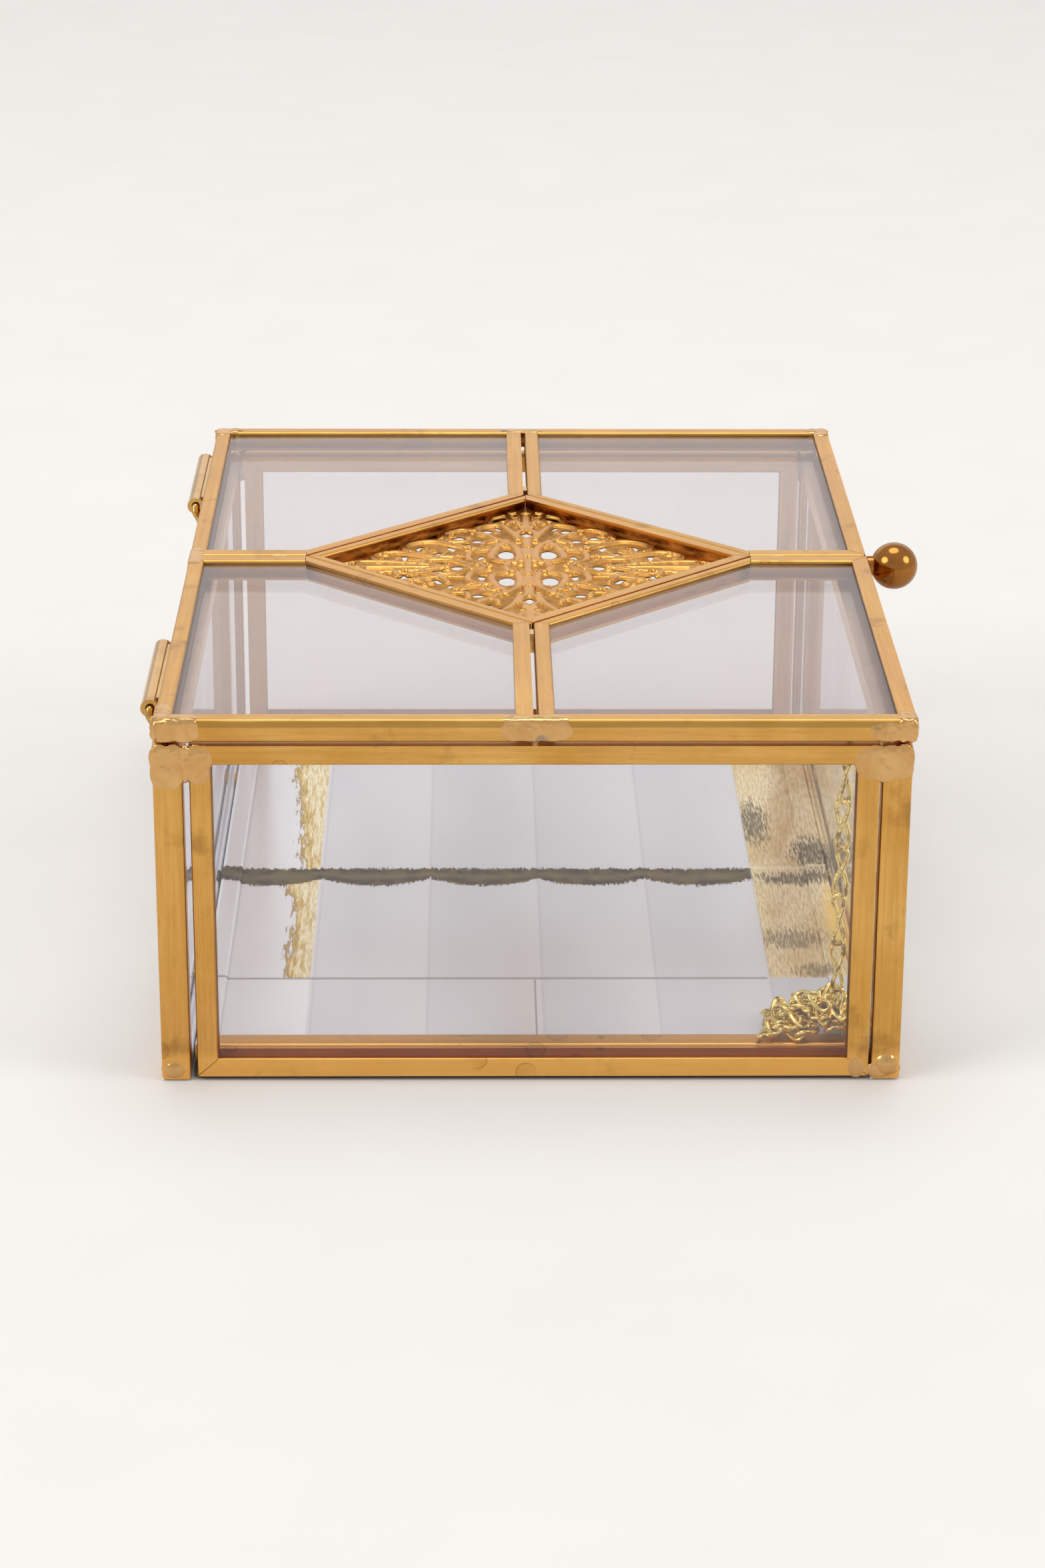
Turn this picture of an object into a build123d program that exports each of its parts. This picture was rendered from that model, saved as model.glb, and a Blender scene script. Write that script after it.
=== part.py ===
from build123d import *
import os
from math import cos, radians, sin, sqrt

os.makedirs("parts", exist_ok=True)

# A brass and glass jewellery box: a case of four framed panes on a mirror floor, and a framed
# glass lid with a stamped filigree rhombus, hinged on two tubes along its back edge.
# Millimetres. +Z is up, -Y is the front with the knob, +Y the hinge side, X the long way.
# The origin is the centre of the base, on the surface that the box stands on.

# ---- driving dimensions ----
box_length = 140.0
box_depth = 102.0
case_height = 49.3
lid_gap = 0.5
lid_thickness = 3.2

side_web = 4.0
side_flange = 2.9
floor_web = 2.8
floor_flange = 3.2
lid_flange = 2.35
rhombus_flange = 1.7
came_sheet = 0.5
floor_sheet = 0.35
came_round = 0.45
mitre_gap = 0.08

side_glass = 2.6
lid_glass = 2.0
floor_glass = 2.0
pane_play = 0.1

felt_thickness = 0.5
front_slit = 0.4
back_slit = 0.9

lid_shift = -0.35
rhombus_x = 1.2
rhombus_half_x = 33.7
rhombus_half_y = 36.3
arm_slit = 0.6
frame_slit = 0.15

filigree_thickness = 0.4
solder_skin = 0.16
solder_round = 0.12

tube_radius = 1.3
wire_radius = 0.6
wire_play = 0.05
tube_length = 25.0
tube_from_end = 11.0
hinge_y = 52.0
hinge_z = 50.6

ball_radius = 3.55
neck_radius = 1.5
neck_length = 1.1

link_wire = 0.25
link_length = 4.6
link_width = 2.5
link_pitch = 3.55
drop_x = -61.2
drop_y = -42.7
riser_x = -64.3
riser_y = -45.3

# ---- derived dimensions ----
half_length = box_length / 2
half_depth = box_depth / 2
inner_x = half_length - side_web
inner_y = half_depth - side_web
lid_low = case_height + lid_gap
lid_high = lid_low + lid_thickness
lid_mid = (lid_low + lid_high) / 2
lid_front = -half_depth + lid_shift
lid_back = half_depth + lid_shift
floor_top = felt_thickness + floor_web
mirror_top = felt_thickness + floor_web / 2 + floor_glass / 2


# ---- folded channel edging ----
def edge_frame(outline, index):
    """Start, direction and inward normal of one side of an anticlockwise outline."""
    start = Vector(*outline[index % len(outline)])
    end = Vector(*outline[(index + 1) % len(outline)])
    along = (end - start).normalized()
    inward = Vector(-along.Y, along.X, 0)
    return start, along, inward


def inner_corner(outline, flanges, index):
    """Point where the flanges' inner edges meet at the corner that starts side `index`."""
    count = len(outline)
    corner, along, inward = edge_frame(outline, index)
    _, along_before, inward_before = edge_frame(outline, index - 1)
    reach = flanges[index % count]
    reach_before = flanges[(index - 1) % count]
    base = corner + inward * reach
    step = (reach_before - (base - corner).dot(inward_before)) / along.dot(inward_before)
    return base + along * step


def came_strip(panel, outline, flanges, index, web, sheet):
    """One straight run of channel, mitred at both ends, its open side towards the pane."""
    start, along, inward = edge_frame(outline, index)
    end = edge_frame(outline, index + 1)[0]
    flange = flanges[index]
    length = (end - start).length

    def in_space(vector):
        return panel.x_dir * vector.X + panel.y_dir * vector.Y

    section = Plane(
        origin=panel.origin + in_space(start),
        x_dir=in_space(inward),
        z_dir=in_space(along),
    )
    with BuildPart() as strip:
        with BuildSketch(section):
            Rectangle(flange, web, align=(Align.MIN, Align.CENTER))
            outer_corners = vertices().sort_by(lambda v: section.to_local_coords(v.center()).X)[:2]
            fillet(outer_corners, came_round)
            with Locations((sheet, 0)):
                Rectangle(flange, web - 2 * sheet, align=(Align.MIN, Align.CENTER), mode=Mode.SUBTRACT)
        extrude(amount=length)
        for corner, inner, side in (
            (start, inner_corner(outline, flanges, index), 1),
            (end, inner_corner(outline, flanges, index + 1), -1),
        ):
            mitre = (inner - corner).normalized()
            keep = Vector(mitre.Y, -mitre.X, 0)
            if keep.dot(along) * side < 0:
                keep = keep * -1
            cut_origin = panel.origin + in_space(corner) + in_space(keep) * (mitre_gap / 2)
            split(bisect_by=Plane(origin=cut_origin, z_dir=in_space(keep)), keep=Keep.TOP)
    return strip.part


def came_ring(panel, outline, flanges, web, sheet):
    """All the strips around one pane."""
    return [came_strip(panel, outline, flanges, side, web, sheet) for side in range(len(outline))]


def rectangle_outline(low_u, high_u, low_v, high_v):
    return [(low_u, low_v), (high_u, low_v), (high_u, high_v), (low_u, high_v)]


# Planes through the middle of each panel, with x along the panel and y up (or back, if level).
front_plane = Plane(origin=(0, -half_depth + side_web / 2, 0), x_dir=(1, 0, 0), z_dir=(0, -1, 0))
back_plane = Plane(origin=(0, half_depth - side_web / 2, 0), x_dir=(-1, 0, 0), z_dir=(0, 1, 0))
left_plane = Plane(origin=(-half_length + side_web / 2, 0, 0), x_dir=(0, -1, 0), z_dir=(-1, 0, 0))
right_plane = Plane(origin=(half_length - side_web / 2, 0, 0), x_dir=(0, 1, 0), z_dir=(1, 0, 0))
floor_plane = Plane.XY.offset(felt_thickness + floor_web / 2)
lid_plane = Plane.XY.offset(lid_mid)

long_outline = rectangle_outline(-half_length, half_length, 0, case_height)
left_outline = rectangle_outline(-(inner_y - back_slit), inner_y - front_slit, felt_thickness, case_height)
right_outline = rectangle_outline(-(inner_y - front_slit), inner_y - back_slit, felt_thickness, case_height)
floor_outline = rectangle_outline(-inner_x + 0.3, inner_x - 0.3, -inner_y + 0.3, inner_y - 0.3)

side_flanges = [side_flange - 0.3, side_flange, side_flange - 0.1, side_flange]
floor_flanges = [floor_flange] * 4

panels = {
    "front": (front_plane, long_outline, side_flanges),
    "back": (back_plane, long_outline, side_flanges),
    "left": (left_plane, left_outline, side_flanges),
    "right": (right_plane, right_outline, side_flanges),
}


def framed_pane(plane, outline, inset, thickness):
    """Flat pane that sits in the channels, a little clear of them all round."""
    with BuildPart() as pane:
        with BuildSketch(plane.offset(-thickness / 2)):
            Polygon(*outline, align=None)
            offset(amount=-inset, kind=Kind.INTERSECTION)
        extrude(amount=thickness)
    return pane.part


def write_node(part, name):
    part.label = name
    export_step(part, "parts/" + name + ".step")


# ---- case: four framed sides ----
for side_name, (plane, outline, flanges) in panels.items():
    write_node(framed_pane(plane, outline, came_sheet + pane_play, side_glass), "pane_" + side_name)
    strips = came_ring(plane, outline, flanges, side_web, came_sheet)
    with BuildPart() as side_came:
        add(strips)
    write_node(side_came.part, "came_" + side_name)

# ---- case: mirror floor in its own edging, on a felt pad ----
write_node(framed_pane(floor_plane, floor_outline, floor_sheet + pane_play, floor_glass), "floor_mirror")

floor_strips = came_ring(floor_plane, floor_outline, floor_flanges, floor_web, floor_sheet)
with BuildPart() as floor_came:
    add(floor_strips)
write_node(floor_came.part, "floor_came")

with BuildPart() as felt_pad:
    with BuildSketch():
        RectangleRounded(box_length - 1.2, 2 * inner_y - 0.6, 1.5)
    extrude(amount=felt_thickness - 0.02)
write_node(felt_pad.part, "felt_pad")


# ---- case: solder at the four upright corners ----
def box_between(low, high, mode=Mode.ADD):
    """Axis-aligned block between two opposite corners, given in any order."""
    size = [abs(b - a) for a, b in zip(low, high)]
    centre = [(a + b) / 2 for a, b in zip(low, high)]
    with Locations(tuple(centre)):
        Box(*size, mode=mode)


cap_reach = 8.0
cap_height = 5.4
foot_height = 3.6


def case_corner_solder(sign_x, sign_y, slit):
    """Skin of solder folded over one corner's head, with beads in the slit at head and foot."""
    face_x = sign_x * half_length
    face_y = sign_y * half_depth
    slit_outer = sign_y * inner_y
    slit_inner = sign_y * (inner_y - slit)
    bead_x = face_x - sign_x * 2.4
    with BuildPart() as solder:
        box_between(
            (face_x + sign_x * solder_skin, face_y + sign_y * solder_skin, case_height - cap_height),
            (face_x - sign_x * cap_reach, face_y - sign_y * cap_reach, case_height + solder_skin),
        )
        fillet(edges().filter_by(Axis.Z), solder_round)
        box_between(
            (face_x, face_y, 0),
            (face_x - sign_x * 2 * cap_reach, face_y - sign_y * 2 * cap_reach, case_height),
            mode=Mode.SUBTRACT,
        )
        box_between(
            (face_x - sign_x * side_web, face_y - sign_y * (side_web + slit), 0),
            (face_x - sign_x * 2 * cap_reach, face_y - sign_y * 2 * cap_reach, case_height + 1),
            mode=Mode.SUBTRACT,
        )
        box_between(
            (face_x + sign_x * solder_skin, slit_outer, case_height - cap_height),
            (bead_x, slit_inner, case_height + solder_skin),
        )
        box_between(
            (face_x - sign_x * 0.2, slit_outer, felt_thickness + 0.1),
            (bead_x, slit_inner, foot_height),
        )
    return solder.part


case_corners = {
    "left_front": (-1, -1, front_slit),
    "left_back": (-1, 1, back_slit),
    "right_front": (1, -1, front_slit),
    "right_back": (1, 1, back_slit),
}
for corner_name, (sign_x, sign_y, slit) in case_corners.items():
    write_node(case_corner_solder(sign_x, sign_y, slit), "solder_case_" + corner_name)

# A thick drop of solder on the foot of the left front post.
drop_radius = 2.1
drop_sunk = 1.4
with BuildPart() as solder_drop:
    with Locations((-half_length + drop_sunk, -half_depth + 1.9, 2.2)):
        Sphere(drop_radius)
    split(bisect_by=Plane(origin=(-half_length, 0, 0), z_dir=(-1, 0, 0)), keep=Keep.TOP)
write_node(solder_drop.part, "solder_drop")

# Tacks that bridge the floor's edging and the sides.
tack_size = 2.4
with BuildPart() as floor_tacks:
    for sign in (-1, 1):
        for along in (-0.55, 0.55):
            box_between(
                (along * half_length - tack_size, sign * inner_y, floor_top - 1.0),
                (along * half_length + tack_size, sign * (inner_y - 0.3), floor_top - 0.2),
            )
        box_between(
            (sign * inner_x, -tack_size, floor_top - 1.0),
            (sign * (inner_x - 0.3), tack_size, floor_top - 0.2),
        )
write_node(floor_tacks.part, "floor_tacks")

# ---- hinge: a bent wire on the case through a tube on the lid, twice ----
leg_clear = 1.2
leg_low = 46.2
lump_width = 3.4


def hinge_wire(low_x, high_x):
    """Wire through a tube, bent down at both ends into solder lumps on the back panel."""
    left = low_x - leg_clear
    right = high_x + leg_clear
    with BuildPart() as wire:
        with BuildLine() as wire_path:
            FilletPolyline(
                (left, hinge_y, leg_low + 0.4),
                (left, hinge_y, hinge_z),
                (right, hinge_y, hinge_z),
                (right, hinge_y, leg_low + 0.4),
                radius=0.9,
            )
        with BuildSketch(Plane(origin=(left, hinge_y, leg_low + 0.4), z_dir=(0, 0, 1))):
            Circle(wire_radius)
        sweep(path=wire_path.line)
        for leg in (left, right):
            box_between(
                (leg - lump_width / 2, half_depth, leg_low - 1.4),
                (leg + lump_width / 2, hinge_y + wire_radius + 0.1, leg_low + 1.4),
            )
    return wire.part


def hinge_tube(low_x, high_x):
    """Tube along the lid's back edge with the solder that holds it there."""
    with BuildPart() as tube:
        with BuildSketch(Plane.YZ.offset(low_x)):
            with Locations((hinge_y, hinge_z)):
                Circle(tube_radius)
        extrude(amount=high_x - low_x)
        box_between(
            (low_x + 1.5, lid_back, hinge_z - 0.35),
            (high_x - 1.5, hinge_y, hinge_z + 1.05),
        )
        with BuildSketch(Plane.YZ.offset(low_x)):
            with Locations((hinge_y, hinge_z)):
                Circle(wire_radius + wire_play)
        extrude(amount=high_x - low_x, mode=Mode.SUBTRACT)
    return tube.part


tube_spans = {
    "left": (-half_length + tube_from_end, -half_length + tube_from_end + tube_length),
    "right": (half_length - tube_from_end - tube_length, half_length - tube_from_end),
}
for tube_name, (low_x, high_x) in tube_spans.items():
    write_node(hinge_wire(low_x, high_x), "hinge_wire_" + tube_name)
    write_node(hinge_tube(low_x, high_x), "hinge_tube_" + tube_name)


# ---- lid: four corner panes around the rhombus ----
def rhombus_points(inset):
    """Corners of the lid's rhombus, moved in by a distance square to its sides."""
    shrink = 1 - inset * sqrt(rhombus_half_x**2 + rhombus_half_y**2) / (rhombus_half_x * rhombus_half_y)
    reach_x = rhombus_half_x * shrink
    reach_y = rhombus_half_y * shrink
    return [
        (rhombus_x + reach_x, lid_shift),
        (rhombus_x, lid_shift + reach_y),
        (rhombus_x - reach_x, lid_shift),
        (rhombus_x, lid_shift - reach_y),
    ]


def corner_pane_outline(sign_x, sign_y):
    """Five-sided outline of one corner pane, anticlockwise from the lid's corner."""
    tips = rhombus_points(rhombus_flange)
    tip_x = tips[0][0] if sign_x > 0 else tips[2][0]
    tip_y = tips[1][1] if sign_y > 0 else tips[3][1]
    lane_x = rhombus_x + sign_x * arm_slit / 2
    lane_y = lid_shift + sign_y * arm_slit / 2
    slope = (tip_y - lid_shift) / (tip_x - rhombus_x)
    start_x = tip_x - sign_x * abs((lane_y - lid_shift) / slope)
    start_y = tip_y - sign_y * abs((lane_x - rhombus_x) * slope)
    outer_x = sign_x * half_length
    outer_y = lid_back if sign_y > 0 else lid_front
    corners = [
        (outer_x, outer_y),
        (lane_x, outer_y),
        (lane_x, start_y),
        (start_x, lane_y),
        (outer_x, lane_y),
    ]
    flanges = [lid_flange, lid_flange, rhombus_flange, lid_flange, lid_flange]
    if sign_x * sign_y < 0:
        corners = [corners[0]] + corners[:0:-1]
        flanges = flanges[::-1]
    return corners, flanges


lid_corners = {
    "left_front": (-1, -1),
    "left_back": (-1, 1),
    "right_front": (1, -1),
    "right_back": (1, 1),
}
for corner_name, (sign_x, sign_y) in lid_corners.items():
    outline, flanges = corner_pane_outline(sign_x, sign_y)
    write_node(framed_pane(lid_plane, outline, came_sheet + pane_play, lid_glass), "lid_pane_" + corner_name)
    strips = came_ring(lid_plane, outline, flanges, lid_thickness, came_sheet)
    with BuildPart() as lid_came:
        add(strips)
    write_node(lid_came.part, "lid_came_" + corner_name)

# ---- lid: rhombus edging and the filigree plate that it holds ----
frame_outer = rhombus_flange + frame_slit
frame_outline = rhombus_points(frame_outer)
frame_strips = came_ring(lid_plane, frame_outline, [rhombus_flange] * 4, lid_thickness, came_sheet)
with BuildPart() as rhombus_frame:
    add(frame_strips)
write_node(rhombus_frame.part, "rhombus_frame")

# Openings of the filigree in one quarter, from its centre: along X, along Y, then their sizes.
oval_openings = [
    (6.4, 3.2, 3.0, 2.0),
    (6.2, 13.3, 2.2, 2.0),
    (4.6, 18.8, 1.9, 2.4),
    (16.2, 0.0, 3.2, 1.5),
    (19.8, 4.0, 1.8, 1.3),
    (0.0, 9.2, 1.5, 2.4),
    (0.0, 23.6, 1.2, 2.4),
    (11.6, 9.8, 2.4, 1.6),
    (11.4, 4.4, 1.8, 2.4),
    (22.8, 0.0, 2.0, 1.3),
]
# Crescents: centre along X and Y, radius, start angle and sweep in degrees.
crescent_openings = [
    (6.4, 3.2, 2.7, 110, 140),
    (6.2, 13.3, 2.5, 20, 130),
    (12.0, 7.0, 3.4, 250, 110),
    (15.2, 4.6, 2.6, 20, 130),
    (3.2, 9.2, 2.2, 300, 120),
    (2.2, 15.4, 2.4, 200, 130),
    (9.4, 13.8, 2.4, 300, 110),
    (2.4, 21.4, 2.2, 60, 110),
    (18.4, 3.2, 2.6, 90, 100),
    (13.8, 11.0, 1.9, 40, 120),
]
# Small round holes: along X and Y.
dot_openings = [
    (1.3, 0.9),
    (2.7, 2.2),
    (0.0, 2.9),
    (4.0, 0.8),
    (9.4, 1.0),
    (9.6, 6.6),
    (12.9, 1.7),
    (3.4, 6.2),
    (1.0, 5.7),
    (4.4, 10.9),
    (8.8, 10.0),
    (8.6, 16.4),
    (6.6, 17.6),
    (1.0, 12.4),
    (2.0, 18.6),
    (1.2, 26.6),
    (3.6, 22.6),
    (20.6, 1.4),
    (22.2, 3.0),
    (26.0, 0.0),
    (17.2, 7.2),
    (15.6, 9.0),
    (13.6, 13.2),
    (24.6, 1.6),
]
dot_radius = 0.42
crescent_width = 0.62
plate_recess = 1.8
plate_low = lid_high - plate_recess - filigree_thickness
with BuildPart() as filigree_plate:
    with BuildSketch(Plane.XY.offset(plate_low)):
        Polygon(*rhombus_points(frame_outer + came_sheet + pane_play), align=None)
        for flip_x in (1, -1):
            for flip_y in (1, -1):
                for along_x, along_y, size_x, size_y in oval_openings:
                    with Locations((rhombus_x + flip_x * along_x, lid_shift + flip_y * along_y)):
                        Ellipse(size_x / 2, size_y / 2, mode=Mode.SUBTRACT)
                for along_x, along_y in dot_openings:
                    with Locations((rhombus_x + flip_x * along_x, lid_shift + flip_y * along_y)):
                        Circle(dot_radius, mode=Mode.SUBTRACT)
                for along_x, along_y, radius, start, turn in crescent_openings:
                    with BuildLine() as crescent:
                        middle = start + turn / 2
                        ThreePointArc(
                            *[
                                (
                                    rhombus_x + flip_x * (along_x + radius * cos(radians(angle))),
                                    lid_shift + flip_y * (along_y + radius * sin(radians(angle))),
                                )
                                for angle in (start, middle, start + turn)
                            ]
                        )
                    trace(crescent.line, line_width=crescent_width, mode=Mode.SUBTRACT)
    extrude(amount=filigree_thickness)
# Where openings run together they cut small bits loose, and those fall out of the stamping.
filigree_sheet = filigree_plate.part.solids().sort_by(SortBy.VOLUME)[-1]
write_node(filigree_sheet, "filigree_plate")


# ---- lid: solder on the corners, the arms' feet and the rhombus's points ----
lid_cap_reach = 6.0


def lid_corner_solder(sign_x, sign_y):
    """Skin of solder over the top and both edges of one lid corner."""
    face_x = sign_x * half_length
    face_y = lid_back if sign_y > 0 else lid_front
    with BuildPart() as solder:
        box_between(
            (face_x + sign_x * solder_skin, face_y + sign_y * solder_skin, lid_low + 0.1),
            (face_x - sign_x * lid_cap_reach, face_y - sign_y * lid_cap_reach, lid_high + solder_skin),
        )
        fillet(edges().filter_by(Axis.Z), solder_round)
        box_between(
            (face_x, face_y, lid_low - 1),
            (face_x - sign_x * 9, face_y - sign_y * 9, lid_high),
            mode=Mode.SUBTRACT,
        )
        box_between(
            (face_x - sign_x * lid_flange, face_y - sign_y * lid_flange, lid_low),
            (face_x - sign_x * 9, face_y - sign_y * 9, lid_high + 1),
            mode=Mode.SUBTRACT,
        )
    return solder.part


for corner_name, (sign_x, sign_y) in lid_corners.items():
    write_node(lid_corner_solder(sign_x, sign_y), "solder_lid_" + corner_name)

# Patches where the double arms meet the lid's edges: two on the short sides, one at the back.
patch_half = 5.5
with BuildPart() as solder_lid_ends:
    for sign in (-1, 1):
        box_between(
            (sign * half_length, lid_shift - patch_half, lid_low + 0.3),
            (sign * (half_length + solder_skin), lid_shift + patch_half, lid_high + solder_skin),
        )
        box_between(
            (sign * half_length, lid_shift - patch_half, lid_high),
            (sign * (half_length - lid_flange), lid_shift + patch_half, lid_high + solder_skin),
        )
write_node(solder_lid_ends.part, "solder_lid_ends")

with BuildPart() as solder_lid_back:
    box_between(
        (rhombus_x - patch_half, lid_back, lid_low + 0.3),
        (rhombus_x + patch_half, lid_back + solder_skin, lid_high + solder_skin),
    )
    box_between(
        (rhombus_x - patch_half, lid_back, lid_high),
        (rhombus_x + patch_half, lid_back - lid_flange, lid_high + solder_skin),
    )
write_node(solder_lid_back.part, "solder_lid_back")

# Small joints that close the slits beside the rhombus's four points.
joint_half = 0.28
joint_long = 2.2
with BuildPart() as solder_points:
    for tip_x, tip_y in rhombus_points(0):
        out_x = (tip_x > rhombus_x + 1) - (tip_x < rhombus_x - 1)
        out_y = (tip_y > lid_shift + 1) - (tip_y < lid_shift - 1)
        side_x = 0 if out_x else joint_half
        side_y = 0 if out_y else joint_half
        box_between(
            (tip_x - side_x + out_x * 0.1, tip_y - side_y + out_y * 0.1, lid_low + 0.3),
            (tip_x + side_x + out_x * joint_long, tip_y + side_y + out_y * joint_long, lid_high - 0.1),
        )
write_node(solder_points.part, "solder_points")

# ---- knob: a ball on a short neck ----
ball_y = lid_front - neck_length - sqrt(ball_radius**2 - neck_radius**2)

with BuildPart() as knob_neck:
    with BuildSketch(Plane(origin=(rhombus_x, lid_front, lid_mid), z_dir=(0, -1, 0))):
        Circle(neck_radius)
    extrude(amount=neck_length)
    fillet(edges().group_by(Axis.Y)[-1], 0.3)
write_node(knob_neck.part, "knob_neck")

with BuildPart() as knob_ball:
    with Locations((rhombus_x, ball_y, lid_mid)):
        Sphere(ball_radius)
    split(bisect_by=Plane(origin=(0, lid_front - neck_length, 0), z_dir=(0, -1, 0)), keep=Keep.TOP)
write_node(knob_ball.part, "knob_ball")

# ---- chain: its two eyelets and its links ----
eye_radius = 0.9
strap_half = 0.4
drop_eye_z = lid_low + 0.33 - eye_radius
riser_eye_z = 46.6


def ring(plane):
    """Round eyelet ring on a plane."""
    with BuildPart() as eye:
        with BuildLine(plane) as circle:
            CenterArc((0, 0), eye_radius, 0, 360)
        with BuildSketch(Plane(origin=circle.line @ 0, z_dir=circle.line % 0)):
            Circle(link_wire)
        sweep(path=circle.line)
    return eye.part


drop_ring = ring(Plane(origin=(drop_x, drop_y, drop_eye_z), z_dir=(0, 1, 0)))
with BuildPart() as lid_eyelet:
    add(drop_ring)
    box_between(
        (-half_length + lid_flange + 0.05, drop_y - strap_half, drop_eye_z + eye_radius - 0.2),
        (drop_x + strap_half, drop_y + strap_half, drop_eye_z + eye_radius + 0.2),
    )
write_node(lid_eyelet.part, "lid_eyelet")

riser_ring = ring(Plane(origin=(riser_x, riser_y, riser_eye_z), z_dir=(1, 0, 0)))
with BuildPart() as case_eyelet:
    add(riser_ring)
    box_between(
        (riser_x - 0.8, -inner_y, riser_eye_z - 0.8),
        (riser_x + 0.8, riser_y - eye_radius, riser_eye_z + 0.8),
    )
write_node(case_eyelet.part, "case_eyelet")

# One oval link, lying in the XY plane with its long way along X.
straight = link_length - link_width
bend = link_width / 2 - link_wire
with BuildPart() as one_link:
    with BuildLine() as oval:
        top_run = Line((-straight / 2, bend), (straight / 2, bend))
        right_turn = CenterArc((straight / 2, 0), bend, 90, -180)
        low_run = Line((straight / 2, -bend), (-straight / 2, -bend))
        left_turn = CenterArc((-straight / 2, 0), bend, 270, -180)
    with BuildSketch(Plane(origin=(-straight / 2, bend, 0), x_dir=(0, 1, 0), z_dir=(1, 0, 0))):
        Circle(link_wire)
    sweep(path=oval.line)


def link_places(points, first_roll):
    """Places of links spaced evenly along a path of straight runs, each turned by a quarter."""
    path = [Vector(*point) for point in points]
    places = []
    travelled = link_pitch / 2
    before = 0.0
    for start, end in zip(path, path[1:]):
        run = (end - start).length
        along = (end - start).normalized()
        side = along.cross(Vector(0, 0, 1))
        if side.length < 0.1:
            side = Vector(0, 1, 0)
        side = side.normalized()
        lift = side.cross(along)
        while travelled <= before + run:
            centre = start + along * (travelled - before)
            roll = radians(first_roll + 90 * (len(places) % 2))
            normal = side * cos(roll) + lift * sin(roll)
            places.append(Plane(origin=centre, x_dir=along, z_dir=normal).location)
            travelled += link_pitch
        before += run
    return places


def chain_of(places):
    return [one_link.part.moved(place) for place in places]


def strand_start(eye_low):
    """Where a hanging strand's path starts, so that its first link hooks a ring's low side."""
    return eye_low + 3 * link_wire + 0.05 - link_length / 2 + link_pitch / 2


# The strand from the lid hangs straight down, and its last link ends just over the heap.
strand_low = 7.2
drop_top = strand_start(drop_eye_z - eye_radius)
drop_links = chain_of(link_places([(drop_x, drop_y, drop_top), (drop_x, drop_y, strand_low)], 90))
with BuildPart() as chain_drop:
    add(drop_links)
write_node(chain_drop.part, "chain_drop")

# The other strand rises in the very corner to the case's eyelet.
riser_top = strand_start(riser_eye_z - eye_radius)
riser_links = chain_of(link_places([(riser_x, riser_y, riser_top), (riser_x, riser_y, strand_low)], 0))
with BuildPart() as chain_riser:
    add(riser_links)
write_node(chain_riser.part, "chain_riser")

# Between them the slack lies in a heap on the floor: rows side by side, and two rows over them.
heap_low = floor_top + 1.0
heap_layer = 2.05
heap_gap = 3.2
row_centre_x = -60.7
row_centre_y = -39.4
row_reach = 1.9 * link_pitch
heap_links = []
for row in (-1, 0, 1):
    row_x = row_centre_x + heap_gap * row
    start = (row_x, row_centre_y - row_reach, heap_low)
    end = (row_x, row_centre_y + row_reach, heap_low)
    heap_links += chain_of(link_places([start, end], 45))
for row_y in (-37.9, -34.6):
    start = (row_centre_x - 1.5 * link_pitch, row_y, heap_low + heap_layer)
    end = (row_centre_x + 1.5 * link_pitch, row_y, heap_low + heap_layer)
    heap_links += chain_of(link_places([start, end], 45))
with BuildPart() as chain_heap:
    add(heap_links)
write_node(chain_heap.part, "chain_heap")

print("links:", len(drop_links), "hanging,", len(riser_links), "rising,", len(heap_links), "in the heap")
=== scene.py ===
from math import atan2, cos, pi, radians, sin, sqrt
from random import Random

import bmesh
import bpy
import numpy as np
from mathutils import Matrix, Vector, noise


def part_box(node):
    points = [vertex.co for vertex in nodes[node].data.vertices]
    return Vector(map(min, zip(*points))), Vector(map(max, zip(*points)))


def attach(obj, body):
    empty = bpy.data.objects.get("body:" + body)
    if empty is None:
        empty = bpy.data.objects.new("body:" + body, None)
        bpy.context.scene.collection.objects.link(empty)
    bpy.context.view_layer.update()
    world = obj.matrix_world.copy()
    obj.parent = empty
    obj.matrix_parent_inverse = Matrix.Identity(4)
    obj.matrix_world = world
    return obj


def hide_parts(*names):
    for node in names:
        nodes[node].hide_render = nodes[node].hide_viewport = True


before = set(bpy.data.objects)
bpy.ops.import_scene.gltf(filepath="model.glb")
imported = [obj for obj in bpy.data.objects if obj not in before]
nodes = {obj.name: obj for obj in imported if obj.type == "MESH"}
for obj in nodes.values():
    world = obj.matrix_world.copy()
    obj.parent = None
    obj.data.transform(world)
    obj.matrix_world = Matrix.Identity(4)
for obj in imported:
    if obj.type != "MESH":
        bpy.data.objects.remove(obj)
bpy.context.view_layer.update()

MM = 0.001

# ---- driving dimensions, in millimetres ----
half_length = 70.0
half_depth = 51.0
case_height = 49.3
lid_low = 49.8
lid_high = 53.0
lid_shift = -0.35
rhombus_x = 1.2
rhombus_half_x = 33.7
rhombus_half_y = 36.3
rhombus_flange = 1.7
frame_slit = 0.15
came_sheet = 0.5
side_web = 4.0
front_slit = 0.4
back_slit = 0.9
floor_top = 3.3
hinge_y = 52.0
hinge_z = 50.6
tube_near = 34.0
tube_far = 59.0
plate_recess = 1.8
plate_thickness = 0.4
plate_low = lid_high - plate_recess - plate_thickness
sheet_thick = 0.16
scroll_rise = 0.52
# Painted reflections in the floor's silver, by their places along Y: zones, a gold streak and a gold
# panel.
zone_start = -51.57
zone_width = 16.525
streak_edge = 31.6
streak_end = 43.3
panel_edge = -35.04
strip_end = 48.73
# The streak's edge swells, sways and frays by this much, behind a dark rim this wide.
streak_swell = 4.62
streak_sway = 3.26
streak_fray = 7.61
streak_rim = 4.08
# A fine line crosses the floor this far along X, and the gold marks end there.
marks_near = -42.4

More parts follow.
